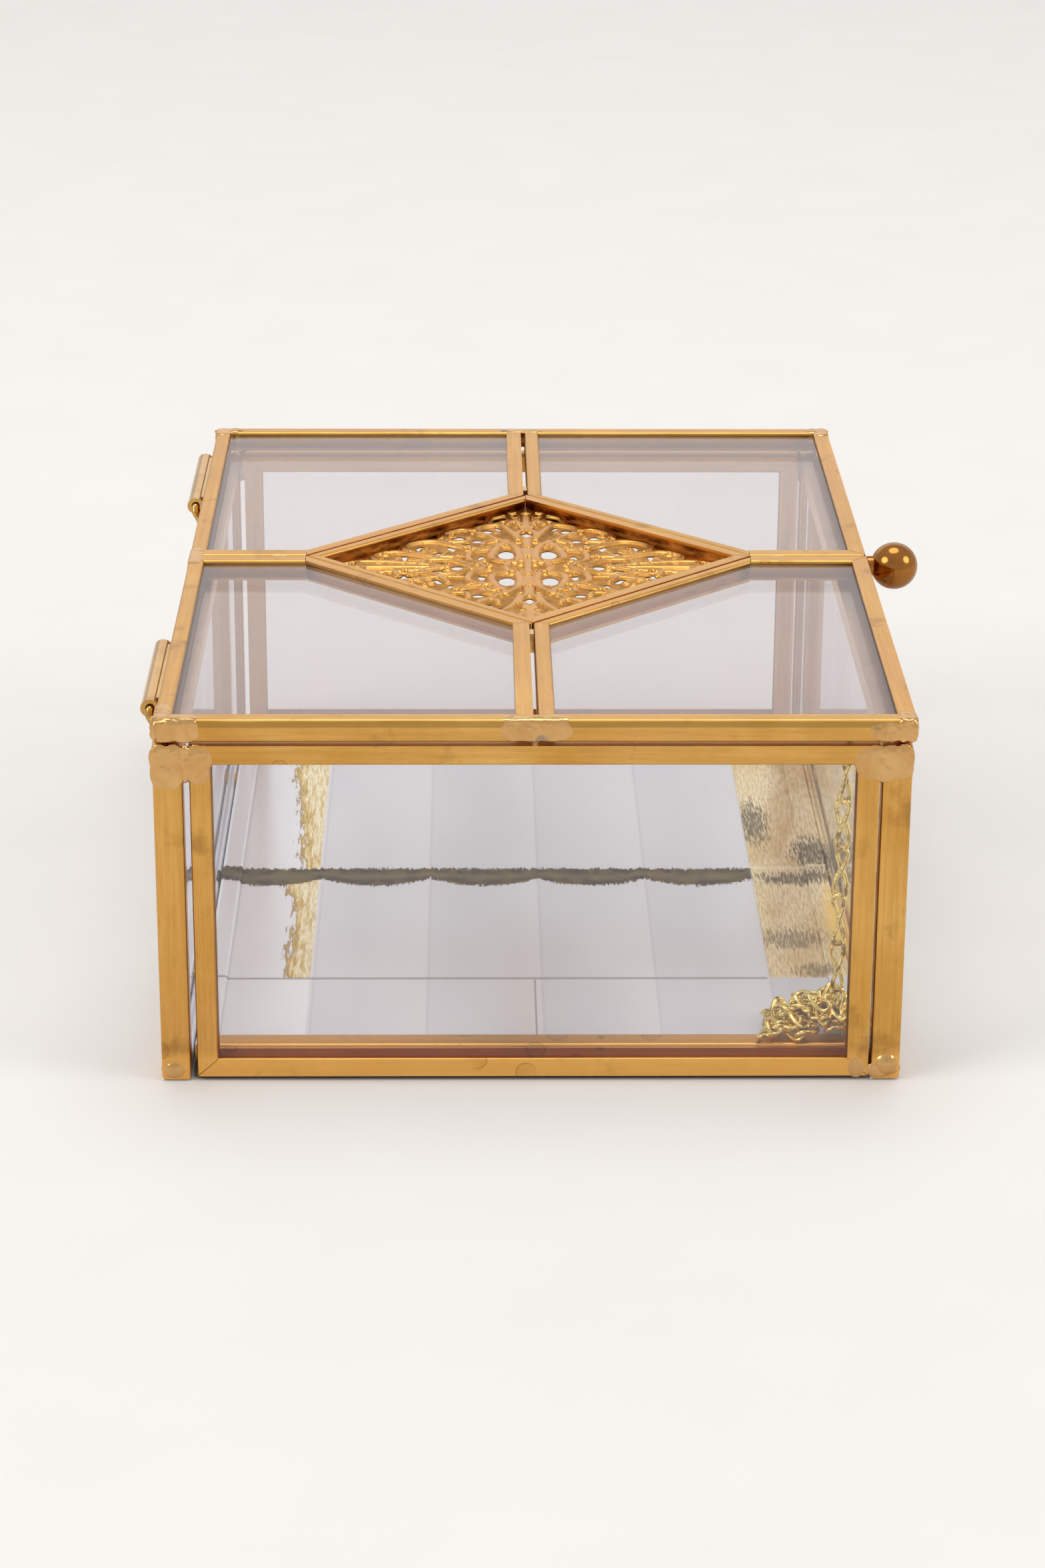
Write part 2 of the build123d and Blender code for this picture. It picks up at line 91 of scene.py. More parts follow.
# ---- camera ----
camera_place = (-543.6, 8.5, 229.3)
camera_heading = -0.86
camera_pitch = 21.38
camera_roll = 0.29
camera_lens = 87.05

camera_data = bpy.data.cameras.new("camera")
camera_data.lens = camera_lens
camera_data.sensor_width = 36.0
camera_data.clip_start = 0.01
camera_data.clip_end = 50.0
camera = bpy.data.objects.new("camera", camera_data)
bpy.context.scene.collection.objects.link(camera)
camera.matrix_world = (
    Matrix.Translation(Vector(camera_place) * MM)
    @ Matrix.Rotation(radians(camera_heading - 90), 4, "Z")
    @ Matrix.Rotation(radians(90 - camera_pitch), 4, "X")
    @ Matrix.Rotation(radians(camera_roll), 4, "Z")
)
bpy.context.scene.camera = camera


# ---- small helpers for node materials ----
class Shader:
    """A node material under construction, with short ways to add and join nodes."""

    def __init__(self, name):
        self.material = bpy.data.materials.new(name)
        self.material.use_nodes = True
        self.tree = self.material.node_tree
        self.tree.nodes.clear()
        self.output = self.tree.nodes.new("ShaderNodeOutputMaterial")
        self.place = self.node("ShaderNodeTexCoord").outputs["Object"]

    def node(self, kind, **settings):
        made = self.tree.nodes.new(kind)
        for key, value in settings.items():
            setattr(made, key, value)
        return made

    def join(self, source, target):
        self.tree.links.new(source, target)

    def put(self, value, socket):
        """Sets a socket from a number, a colour or another socket."""
        if isinstance(value, bpy.types.NodeSocket):
            self.join(value, socket)
        else:
            socket.default_value = value

    def mapped(self, scale, turn=(0, 0, 0), shift=(0, 0, 0)):
        mapping = self.node("ShaderNodeMapping")
        self.join(self.place, mapping.inputs["Vector"])
        mapping.inputs["Scale"].default_value = scale
        mapping.inputs["Rotation"].default_value = turn
        mapping.inputs["Location"].default_value = shift
        return mapping.outputs["Vector"]

    def noise(self, vector, scale, detail=3.0, rough=0.5, twist=0.0):
        made = self.node("ShaderNodeTexNoise")
        self.join(vector, made.inputs["Vector"])
        made.inputs["Scale"].default_value = scale
        made.inputs["Detail"].default_value = detail
        made.inputs["Roughness"].default_value = rough
        made.inputs["Distortion"].default_value = twist
        return made.outputs["Fac"]

    def cells(self, vector, scale):
        made = self.node("ShaderNodeTexVoronoi")
        self.join(vector, made.inputs["Vector"])
        made.inputs["Scale"].default_value = scale
        return made.outputs["Distance"]

    def ramp(self, value, *stops):
        made = self.node("ShaderNodeValToRGB")
        self.join(value, made.inputs["Fac"])
        elements = made.color_ramp.elements
        while len(elements) < len(stops):
            elements.new(0.5)
        for element, (position, level) in zip(elements, stops):
            element.position = position
            element.color = (level, level, level, 1)
        return made.outputs["Color"]

    def mix(self, share, first, second, blend="MIX"):
        made = self.node("ShaderNodeMix", data_type="RGBA", blend_type=blend)
        self.put(share, made.inputs["Factor"])
        for colour, slot in ((first, "A"), (second, "B")):
            is_socket = isinstance(colour, bpy.types.NodeSocket)
            self.put(colour if is_socket else (*colour, 1), made.inputs[slot])
        return made.outputs["Result"]

    def sums(self, operation, first, second=0.5, third=0.5):
        made = self.node("ShaderNodeMath", operation=operation)
        self.put(first, made.inputs[0])
        self.put(second, made.inputs[1])
        self.put(third, made.inputs[2])
        return made.outputs["Value"]

    def bump(self, height, strength, distance, under=None):
        made = self.node("ShaderNodeBump")
        self.join(height, made.inputs["Height"])
        made.inputs["Strength"].default_value = strength
        made.inputs["Distance"].default_value = distance
        if under is not None:
            self.join(under, made.inputs["Normal"])
        return made.outputs["Normal"]

    def surface(self, colour, roughness, normal=None, metallic=0.0, **sockets):
        made = self.node("ShaderNodeBsdfPrincipled")
        is_socket = isinstance(colour, bpy.types.NodeSocket)
        self.put(colour if is_socket else (*colour, 1), made.inputs["Base Color"])
        self.put(roughness, made.inputs["Roughness"])
        made.inputs["Metallic"].default_value = metallic
        if normal is not None:
            self.join(normal, made.inputs["Normal"])
        for key, value in sockets.items():
            made.inputs[key.replace("_", " ")].default_value = value
        self.join(made.outputs["BSDF"], self.output.inputs["Surface"])


# ---- brass edging, brushed along each strip ----
diagonal = atan2(rhombus_half_y, rhombus_half_x)
brush_turns = {
    "x": (0, 0, 0),
    "y": (0, 0, -pi / 2),
    "z": (0, pi / 2, 0),
    "rising": (0, 0, -diagonal),
    "falling": (0, 0, diagonal),
}


def brass_edging(name, turn):
    """Satin brass: long brush lines, warm tarnish clouds, dark specks and pale water rings."""
    s = Shader(name)
    along = s.mapped((1, 1, 1), turn)
    stretch = s.node("ShaderNodeMapping")
    s.join(along, stretch.inputs["Vector"])
    stretch.inputs["Scale"].default_value = (0.035, 1, 1)
    brushed = stretch.outputs["Vector"]
    fine = s.noise(brushed, 5200, 4, 0.6)
    coarse = s.noise(brushed, 1300, 3, 0.55)
    clouds = s.noise(s.place, 62, 4, 0.55, 0.4)
    clouds_big = s.noise(s.place, 17, 2, 0.5)
    gold = s.mix(s.ramp(clouds, (0.36, 0), (0.66, 1)), (0.64, 0.33, 0.072), (0.78, 0.45, 0.13))
    gold = s.mix(s.ramp(clouds_big, (0.42, 0), (0.66, 0.7)), gold, (0.72, 0.36, 0.105))
    lines = s.ramp(coarse, (0.35, 0), (0.62, 1))
    gold = s.mix(s.sums("MULTIPLY", lines, 0.30), gold, (0.42, 0.20, 0.04))
    hair = s.ramp(fine, (0.30, 1), (0.52, 0))
    gold = s.mix(s.sums("MULTIPLY", hair, 0.34), gold, (0.33, 0.155, 0.03))
    specks = s.ramp(s.cells(s.place, 260), (0.02, 1), (0.10, 0))
    speck_here = s.ramp(s.noise(s.place, 90, 2), (0.56, 0), (0.66, 1))
    specks = s.sums("MULTIPLY", specks, speck_here)
    gold = s.mix(s.sums("MULTIPLY", specks, 0.7), gold, (0.22, 0.11, 0.03))
    smudge = s.ramp(s.noise(s.place, 125, 4, 0.6), (0.60, 0), (0.72, 1))
    gold = s.mix(s.sums("MULTIPLY", smudge, 0.5), gold, (0.27, 0.125, 0.03))
    axes = s.node("ShaderNodeSeparateXYZ")
    s.join(s.place, axes.inputs["Vector"])
    under_top = s.node("ShaderNodeMapRange")
    s.join(axes.outputs["Z"], under_top.inputs["Value"])
    under_top.inputs["From Min"].default_value = (lid_high - 2.0) * MM
    under_top.inputs["From Max"].default_value = lid_high * MM
    shade_band = s.ramp(under_top.outputs["Result"], (0.42, 0), (0.50, 1), (0.80, 1), (0.88, 0))
    gold = s.mix(s.sums("MULTIPLY", shade_band, 0.55), gold, (0.26, 0.16, 0.04))
    # Painted light: the lowest 3 to 4.5 mm of the edging are brightened towards a saturated orange gold.
    foot = s.ramp(s.sums("MULTIPLY", axes.outputs["Z"], 0.1 / MM), (0.30, 1), (0.45, 0))
    gold = s.mix(s.sums("MULTIPLY", foot, 0.45), gold, (0.98, 0.54, 0.14))
    rings = s.cells(s.mapped((1, 1, 1), shift=(0.013, 0.007, 0.003)), 190)
    ring_line = s.ramp(rings, (0.235, 0.3), (0.26, 1), (0.285, 0))
    ring_here = s.ramp(s.noise(s.place, 38, 1), (0.55, 0), (0.60, 1))
    ring_line = s.sums("MULTIPLY", ring_line, ring_here)
    gold = s.mix(s.sums("MULTIPLY", ring_line, 0.6), gold, (0.30, 0.13, 0.03))
    rough = s.sums("MULTIPLY_ADD", fine, 0.16, 0.22)
    rough = s.sums("MULTIPLY_ADD", s.ramp(clouds, (0.4, 0), (0.7, 1)), 0.08, rough)
    wave = s.noise(s.place, 120, 2)
    normal = s.bump(wave, 0.25, 0.00012)
    normal = s.bump(coarse, 0.35, 0.00002, normal)
    normal = s.bump(fine, 0.4, 0.00001, normal)
    s.surface(gold, rough, normal, 1.0)
    return s.material


edging = {key: brass_edging("came_brass_" + key, turn) for key, turn in brush_turns.items()}
edging_order = list(edging)


def strip_directions(mesh):
    """For each face, the key of the direction its own solid runs in."""
    places = {}
    parent = []

    def find(item):
        while parent[item] != item:
            parent[item] = parent[parent[item]]
            item = parent[item]
        return item

    owner = []
    for vertex in mesh.vertices:
        key = tuple(round(c * 2e5) for c in vertex.co)
        if key not in places:
            places[key] = len(parent)
            parent.append(len(parent))
        owner.append(places[key])
    for face in mesh.polygons:
        first = find(owner[face.vertices[0]])
        for corner in face.vertices[1:]:
            parent[find(owner[corner])] = first
    groups = {}
    for vertex, own in zip(mesh.vertices, owner):
        groups.setdefault(find(own), []).append(vertex.co[:])
    keys = {}
    for group, points in groups.items():
        points = np.array(points)
        middle = points - points.mean(0)
        axis = np.linalg.svd(middle, full_matrices=False)[2][0]
        straight = [key for key, c in zip("xyz", np.abs(axis)) if c > 0.95]
        if straight:
            keys[group] = straight[0]
        else:
            keys[group] = "rising" if axis[0] * axis[1] > 0 else "falling"
    return [keys[find(owner[face.vertices[0]])] for face in mesh.polygons]


def dress_edging(node):
    mesh = nodes[node].data
    mesh.materials.clear()
    for key in edging_order:
        mesh.materials.append(edging[key])
    for face, key in zip(mesh.polygons, strip_directions(mesh)):
        face.material_index = edging_order.index(key)


def shade_inner_walls(node, material):
    """Gives the faces that look in towards the rhombus's centre their own material."""
    mesh = nodes[node].data
    mesh.materials.append(material)
    centre = Vector((rhombus_x, lid_shift, 0)) * MM
    for face in mesh.polygons:
        inward = (centre - face.center).to_2d().normalized()
        if face.normal.to_2d().dot(inward) > 0.5 and face.center.z < (lid_high - came_sheet) * MM:
            face.material_index = len(mesh.materials) - 1


def silver_side_rails(node, material):
    """The rails along the floor's long sides take the floor's silver on all but their outer face."""
    mesh = nodes[node].data
    mesh.materials.append(material)
    running = strip_directions(mesh)
    for face, key in zip(mesh.polygons, running):
        side = abs(face.center.y) / MM
        low = face.center.z / MM < 6
        outward = face.normal.y * face.center.y > 0.3 * abs(face.center.y)
        inside = 40 < side < 50.4 or (side < 50.95 and not outward)
        if key == "x" and low and inside:
            face.material_index = len(mesh.materials) - 1


def dress(node, material):
    mesh = nodes[node].data
    mesh.materials.clear()
    mesh.materials.append(material)
    for face in mesh.polygons:
        face.material_index = 0


# ---- glass ----
def clear_glass(name, tint, dust):
    """Thin clear pane: see-through, mirrors more at a slant, with faint dust and wiping marks."""
    s = Shader(name)
    smear = s.noise(s.mapped((1, 0.25, 0.6), (0, 0, 0.5)), 60, 4, 0.6)
    grain = s.noise(s.place, 2600, 2, 0.6)
    specks = s.ramp(s.cells(s.place, 520), (0.03, 1), (0.09, 0))
    speck_here = s.ramp(s.noise(s.place, 70, 1), (0.6, 0), (0.7, 1))
    specks = s.sums("MULTIPLY", specks, speck_here)
    through = s.node("ShaderNodeBsdfTransparent")
    through.inputs["Color"].default_value = (*tint, 1)
    mirror = s.node("ShaderNodeBsdfGlossy")
    mirror.inputs["Color"].default_value = (0.96, 0.96, 0.98, 1)
    mirror.inputs["Roughness"].default_value = 0.015
    normal = s.bump(s.noise(s.place, 22, 2), 0.12, 0.0004)
    s.join(normal, mirror.inputs["Normal"])
    slant = s.node("ShaderNodeLayerWeight").outputs["Facing"]
    gloss = s.sums("MULTIPLY_ADD", s.sums("POWER", slant, 5.0), 0.96, 0.04)
    glass = s.node("ShaderNodeMixShader")
    s.join(gloss, glass.inputs["Fac"])
    s.join(through.outputs["BSDF"], glass.inputs[1])
    s.join(mirror.outputs["BSDF"], glass.inputs[2])
    film = s.node("ShaderNodeBsdfDiffuse")
    film.inputs["Color"].default_value = (0.78, 0.74, 0.75, 1)
    cover = s.sums("MULTIPLY_ADD", s.ramp(smear, (0.45, 0), (0.8, 1)), dust * 0.5, dust)
    cover = s.sums("MULTIPLY_ADD", s.ramp(grain, (0.5, 0), (0.75, 1)), dust * 0.3, cover)
    cover = s.sums("MULTIPLY_ADD", specks, 0.25, cover)
    final = s.node("ShaderNodeMixShader")
    s.join(cover, final.inputs["Fac"])
    s.join(glass.outputs["Shader"], final.inputs[1])
    s.join(film.outputs["BSDF"], final.inputs[2])
    s.join(final.outputs["Shader"], s.output.inputs["Surface"])
    return s.material


lid_glass = clear_glass("clear_glass_lid", (0.862, 0.845, 0.85), 0.035)
side_glass = clear_glass("clear_glass_side", (0.97, 0.965, 0.97), 0.02)


# ---- other metals ----
def solder_metal(name):
    """Plated solder: pale satin gold, pitted and lumpy."""
    s = Shader(name)
    clouds = s.noise(s.place, 240, 4, 0.6, 0.6)
    gold = s.mix(s.ramp(clouds, (0.35, 0), (0.7, 1)), (0.57, 0.32, 0.112), (0.71, 0.43, 0.18))
    pits = s.ramp(s.cells(s.place, 620), (0.04, 1), (0.14, 0))
    pit_here = s.ramp(s.noise(s.place, 300, 2), (0.5, 0), (0.6, 1))
    pits = s.sums("MULTIPLY", pits, pit_here)
    gold = s.mix(s.sums("MULTIPLY", pits, 0.5), gold, (0.35, 0.18, 0.06))
    lead = s.ramp(s.noise(s.place, 150, 3, 0.6), (0.66, 0), (0.72, 1))
    gold = s.mix(s.sums("MULTIPLY", lead, 0.6), gold, (0.20, 0.19, 0.20))
    rough = s.sums("MULTIPLY_ADD", clouds, 0.20, 0.12)
    grain = s.noise(s.place, 1500, 4, 0.6)
    normal = s.bump(s.noise(s.place, 260, 2), 0.7, 0.0004)
    normal = s.bump(grain, 0.2, 0.00002, normal)
    s.surface(gold, rough, normal, 1.0)
    return s.material


def chain_gold(name):
    """Small bright links: painted pale gold highlights and painted olive shade alternating along the
    wire.
    """
    s = Shader(name)
    along = s.noise(s.place, 900, 3, 0.6)
    gold = s.mix(s.ramp(along, (0.34, 0), (0.54, 1)), (0.24, 0.155, 0.015), (1.0, 0.80, 0.27))
    s.surface(gold, s.sums("MULTIPLY_ADD", along, 0.12, 0.06), s.bump(along, 0.2, 0.00004), 1.0)
    return s.material


def polished_brass(name, deep, bright, scale):
    """Polished brass with a little cloudiness and hair scratches."""
    s = Shader(name)
    clouds = s.noise(s.place, scale, 3, 0.55)
    gold = s.mix(s.ramp(clouds, (0.35, 0), (0.7, 1)), deep, bright)
    scratch = s.noise(s.mapped((1, 0.08, 1), (0.4, 0.2, 0.7)), 3000, 2)
    rough = s.sums("MULTIPLY_ADD", scratch, 0.10, 0.07)
    normal = s.bump(scratch, 0.15, 0.00001)
    s.surface(gold, rough, normal, 1.0)
    return s.material


# Blots of painted reflection on the floor's gold side, dark ones and one bright orange painted glow:
# places along X and Y, half sizes, strength and colour.
reflection_dark = (0.13, 0.10, 0.055)
reflection_blots = [
    (17.7, -36.62, 11.0, 3.04, 0.85, reflection_dark),
    (4.2, -45.32, 8.0, 4.24, 0.9, reflection_dark),
    (-5.4, -42.87, 3.2, 9.24, 0.9, reflection_dark),
    (-28.6, -39.34, 4.5, 5.98, 0.6, reflection_dark),
    (-40.0, -42.06, 3.0, 3.8, 0.6, reflection_dark),
    (-21.0, -47.06, 15.0, 2.5, 1.0, (1.0, 0.66, 0.13)),
]


def mirror_glass(name):
    """Silvered pane of the floor: hazy silver with painted reflections (soft zones, a scalloped strip, a
    gold streak and a gold panel) and painted light.
    """
    s = Shader(name)
    axes = s.node("ShaderNodeSeparateXYZ")
    s.join(s.place, axes.inputs["Vector"])
    along = s.sums("MULTIPLY", axes.outputs["X"], 1 / MM)
    across = s.sums("MULTIPLY", axes.outputs["Y"], 1 / MM)
    far_off = 2 * half_length

    def within(value, low, high, soft):
        """1 between low and high, 0 outside them, with soft edges."""
        rise = s.node("ShaderNodeMapRange", interpolation_type="SMOOTHSTEP")
        s.put(value, rise.inputs["Value"])
        rise.inputs["From Min"].default_value = low - soft
        rise.inputs["From Max"].default_value = low + soft
        fall = s.node("ShaderNodeMapRange", interpolation_type="SMOOTHSTEP")
        s.put(value, fall.inputs["Value"])
        fall.inputs["From Min"].default_value = high - soft
        fall.inputs["From Max"].default_value = high + soft
        return s.sums("SUBTRACT", rise.outputs["Result"], fall.outputs["Result"])

    def stroked(share):
        """Coordinates for strokes along X, longer the smaller the share."""
        return s.mapped((share, 1, 0), shift=(0, -8.5 * MM, 0))

    haze = s.noise(s.mapped((0.25, 1, 1)), 45, 3, 0.5)
    silver = s.mix(s.ramp(haze, (0.35, 0), (0.7, 1)), (0.71, 0.72, 0.745), (0.80, 0.81, 0.835))
    # Painted reflection: zones across Y, each paler on one side and edged with a dark line.
    saw = s.sums("FRACT", s.sums("DIVIDE", s.sums("SUBTRACT", across, zone_start), zone_width))
    pale_side = s.ramp(saw, (0.0, 1), (0.6, 0), (1.0, 0))
    silver = s.mix(s.sums("MULTIPLY", pale_side, 0.35), silver, (0.93, 0.93, 0.93))
    edge_line = s.ramp(saw, (0.0, 1), (0.02, 0), (0.98, 0), (1.0, 1))
    silver = s.mix(s.sums("MULTIPLY", edge_line, 0.35), silver, (0.50, 0.50, 0.54))

    # Painted light: the silver brightens towards -X and beyond the streak's edge.
    lift = s.sums("MULTIPLY_ADD", along, -0.0009, 0.975)
    lift = s.sums("MULTIPLY_ADD", within(across, streak_edge, far_off, 0.16), 0.14, lift)
    silver = s.mix(1.0, silver, lift, "MULTIPLY")
    drift = s.noise(stroked(0.35), 110, 3, 0.6, 0.6)
    # Painted reflection: a gold streak with a dark rim and a pale painted highlight down its middle,
    # crossed by fine lines.
    along_streak = s.sums("MULTIPLY_ADD", along, 1 / 83.0, 42.0 / 83.0)
    flares = ((0.0, 0.55), (0.30, 0.6), (0.43, 1), (0.465, 0.2), (0.62, 0.45), (1.0, 1))
    flare = s.ramp(along_streak, *flares)
    dashes = s.noise(stroked(0.10), 1700, 4, 0.7)
    sway = s.noise(s.mapped((1, 0.05, 1), shift=(0.02, 0, 0)), 60, 2, 0.5)
    edge = s.sums("MULTIPLY_ADD", flare, streak_swell, streak_edge + 1.09)
    edge = s.sums("MULTIPLY_ADD", s.sums("SUBTRACT", sway, 0.5), streak_sway, edge)
    edge = s.sums("MULTIPLY_ADD", s.sums("SUBTRACT", dashes, 0.5), streak_fray, edge)
    across_streak = s.sums("DIVIDE", s.sums("SUBTRACT", edge, across), streak_rim)
    off_rim = s.ramp(across_streak, (0.0, 0), (0.30, 1))
    dark_to_gold = s.mix(off_rim, (0.20, 0.14, 0.06), (0.80, 0.58, 0.20))
    gold = s.mix(s.ramp(across_streak, (0.25, 0), (0.55, 1)), dark_to_gold, (1.0, 0.94, 0.66))
    hairs = s.noise(stroked(0.12), 3400, 3, 0.65)
    gold = s.mix(s.sums("MULTIPLY", s.ramp(dashes, (0.40, 1), (0.52, 0)), 0.6), gold, (0.60, 0.38, 0.09))
    gold = s.mix(s.sums("MULTIPLY", s.ramp(hairs, (0.42, 1), (0.54, 0)), 0.5), gold, (0.62, 0.43, 0.12))
    # Painted reflection: the pale gold panel with fine dark lines, dark blots, a bright orange painted
    # glow and a painted glint line near X = -1 mm.
    pale_panel = s.mix(s.ramp(drift, (0.38, 0), (0.60, 1)), (0.82, 0.62, 0.31), (1.0, 0.88, 0.56))
    hair_line = s.ramp(hairs, (0.42, 1), (0.56, 0))
    pale_panel = s.mix(s.sums("MULTIPLY", hair_line, 0.45), pale_panel, (0.40, 0.29, 0.11))
    for blot_x, blot_y, half_x, half_y, strength, tone in reflection_blots:
        off_x = s.sums("DIVIDE", s.sums("SUBTRACT", along, blot_x), half_x)
        off_y = s.sums("DIVIDE", s.sums("SUBTRACT", across, blot_y), half_y)
        far = s.sums("MULTIPLY_ADD", off_y, off_y, s.sums("MULTIPLY", off_x, off_x))
        far = s.sums("MULTIPLY_ADD", s.sums("SUBTRACT", hairs, 0.5), 4.0, far)
        blot = s.ramp(far, (0.1, 1), (0.95, 0))
        pale_panel = s.mix(s.sums("MULTIPLY", blot, strength), pale_panel, tone)
    panel_glint = within(along, -1.6, -0.6, 0.3)
    pale_panel = s.mix(s.sums("MULTIPLY", panel_glint, 0.6), pale_panel, (0.95, 0.88, 0.62))
    far_side = within(along, marks_near, 60.0, 0.25)
    streak = within(across, streak_edge, streak_end, 0.11)
    streak = s.sums("MULTIPLY", streak, within(across_streak, 0.0, 9.0, 0.06))
    silver = s.mix(s.sums("MULTIPLY", streak, far_side), silver, gold)
    panel = within(across, -far_off, panel_edge, 0.16)
    silver = s.mix(s.sums("MULTIPLY", panel, far_side), silver, pale_panel)

    # Painted reflection: a scalloped dark olive strip running along Y, paler in the middle of each
    # scallop.
    bulge = s.sums("SINE", s.sums("MULTIPLY", saw, pi))
    bulge = s.sums("POWER", s.sums("MAXIMUM", bulge, 0.0001), 0.7)
    rough_edge = s.sums("MULTIPLY", s.sums("SUBTRACT", s.noise(s.place, 900, 3, 0.6), 0.5), 2.2)
    rough_edge = s.sums("MULTIPLY_ADD", s.sums("SUBTRACT", hairs, 0.5), 3.0, rough_edge)
    half = s.sums("MULTIPLY_ADD", bulge, 1.6, 2.1)
    middle = s.sums("MULTIPLY_ADD", bulge, 1.6, 3.1)
    off = s.sums("ABSOLUTE", s.sums("ADD", s.sums("ADD", along, middle), rough_edge))
    off = s.sums("DIVIDE", off, half)
    band = s.ramp(off, (0.82, 1), (1.08, 0))
    core = s.ramp(off, (0.0, 1), (0.55, 0))
    band = s.sums("MULTIPLY", band, within(across, panel_edge, strip_end, 0.27))
    mottle = s.ramp(s.noise(s.place, 420, 3, 0.6), (0.4, 0), (0.62, 1))
    olive = s.mix(mottle, (0.035, 0.018, 0.0), (0.13, 0.085, 0.01))
    olive = s.mix(s.sums("MULTIPLY", core, 0.4), olive, (0.27, 0.22, 0.13))
    silver = s.mix(s.sums("MULTIPLY", band, 0.97), silver, olive)
    line = within(along, marks_near - 0.5, marks_near + 0.2, 0.12)
    line = s.sums("MULTIPLY", line, within(across, panel_edge + 0.33, far_off, 0.16))
    seam = within(across, -1.07, -0.8, 0.05)
    seam = s.sums("MULTIPLY", seam, within(along, -66.0, marks_near - 0.1, 0.2))
    silver = s.mix(s.sums("MULTIPLY", s.sums("MAXIMUM", line, seam), 0.75), silver, (0.33, 0.31, 0.29))

    plain = s.node("ShaderNodeBsdfDiffuse")
    s.join(silver, plain.inputs["Color"])
    bright = s.node("ShaderNodeBsdfGlossy")
    s.join(silver, bright.inputs["Color"])
    s.put(s.sums("MULTIPLY_ADD", haze, 0.10, 0.16), bright.inputs["Roughness"])
    s.join(s.bump(s.noise(s.place, 60, 2), 0.2, 0.0002), bright.inputs["Normal"])
    both = s.node("ShaderNodeMixShader")
    both.inputs["Fac"].default_value = 0.42
    s.join(plain.outputs["BSDF"], both.inputs[1])
    s.join(bright.outputs["BSDF"], both.inputs[2])
    s.join(both.outputs["Shader"], s.output.inputs["Surface"])
    return s.material


def stamped_brass(name):
    """Filigree: warm gold on the raised scrolls, with painted shade turning the hollows dark brown."""
    s = Shader(name)
    axes = s.node("ShaderNodeSeparateXYZ")
    s.join(s.place, axes.inputs["Vector"])
    level = s.node("ShaderNodeMapRange")
    s.join(axes.outputs["Z"], level.inputs["Value"])
    level.inputs["From Min"].default_value = plate_low * MM
    level.inputs["From Max"].default_value = (plate_low + sheet_thick + scroll_rise) * MM
    clouds = s.noise(s.place, 420, 4, 0.6)
    height = s.sums("MULTIPLY_ADD", s.sums("SUBTRACT", clouds, 0.5), 0.25, level.outputs["Result"])
    pale = s.mix(s.ramp(clouds, (0.35, 0), (0.65, 1)), (0.57, 0.275, 0.06), (0.70, 0.36, 0.095))
    # Painted shade: the lowest parts of the sheet darken to dark brown.
    gold = s.mix(s.ramp(height, (0.06, 1), (0.34, 0)), pale, (0.10, 0.045, 0.008))
    amber = s.ramp(s.noise(s.place, 150, 2), (0.55, 0), (0.68, 1))
    gold = s.mix(s.sums("MULTIPLY", amber, 0.35), gold, (0.62, 0.27, 0.06))
    rough = s.sums("MULTIPLY_ADD", clouds, 0.2, 0.22)
    rough = s.sums("MULTIPLY_ADD", s.ramp(height, (0.15, 1), (0.6, 0)), 0.35, rough)
    normal = s.bump(s.noise(s.place, 2200, 3), 0.3, 0.00002)
    s.surface(gold, rough, normal, 1.0)
    return s.material


def amber_wall(name):
    """Inner side of the rhombus's edging: darkened to amber brown as painted shade."""
    s = Shader(name)
    clouds = s.noise(s.mapped((1, 1, 3)), 420, 4, 0.6)
    brown = s.mix(s.ramp(clouds, (0.4, 0), (0.7, 1)), (0.24, 0.07, 0.010), (0.68, 0.24, 0.036))
    s.surface(brown, s.sums("MULTIPLY_ADD", clouds, 0.3, 0.2), s.bump(clouds, 0.4, 0.0001), 1.0)
    return s.material


def black_felt(name):
    """Pressed black felt with pale lint caught in it."""
    s = Shader(name)
    fibre = s.noise(s.mapped((1, 0.3, 1), (0.3, 0.5, 0.8)), 4200, 5, 0.7, 1.5)
    clouds = s.noise(s.place, 300, 3)
    black = s.mix(s.ramp(fibre, (0.4, 0), (0.75, 1)), (0.008, 0.008, 0.011), (0.05, 0.05, 0.06))
    black = s.mix(s.ramp(clouds, (0.6, 0), (0.8, 0.4)), black, (0.09, 0.09, 0.10))
    normal = s.bump(fibre, 0.8, 0.0002)
    s.surface(black, 0.95, normal, 0.0, Sheen_Weight=0.4, Sheen_Roughness=0.6)
    return s.material


solder = solder_metal("solder_gold")
knob_brass = polished_brass("knob_brass", (0.28, 0.10, 0.021), (0.39, 0.165, 0.038), 160)
chain_brass = chain_gold("chain_brass")
tube_brass = polished_brass("tube_brass", (0.50, 0.28, 0.08), (0.62, 0.37, 0.125), 200)
filigree_brass = stamped_brass("filigree_brass")
amber = amber_wall("amber_wall")
mirror_floor = mirror_glass("mirror_floor")
felt = black_felt("black_felt")

for node in nodes:
    if node.startswith(("came_", "lid_came_")) or node in ("floor_came", "rhombus_frame"):
        dress_edging(node)
    elif node.startswith("lid_pane_"):
        dress(node, lid_glass)
    elif node.startswith("pane_"):
        dress(node, side_glass)
    elif node.startswith("solder_") or node == "floor_tacks":
        dress(node, solder)
    elif node.startswith("knob_"):
        dress(node, knob_brass)
    elif node.startswith("chain_") or node.endswith("_eyelet"):
        dress(node, chain_brass)
    elif node.startswith("hinge_"):
        dress(node, tube_brass)
dress("floor_mirror", mirror_floor)
dress("felt_pad", felt)
dress("filigree_plate", filigree_brass)
shade_inner_walls("rhombus_frame", amber)
for node in ("floor_came", "came_front", "came_back"):
    silver_side_rails(node, mirror_floor)


# ---- filigree: a stamped sheet with raised scrolls, built on a fine grid ----
grid_step = 0.19
plate_edge = rhombus_flange + frame_slit - 0.3
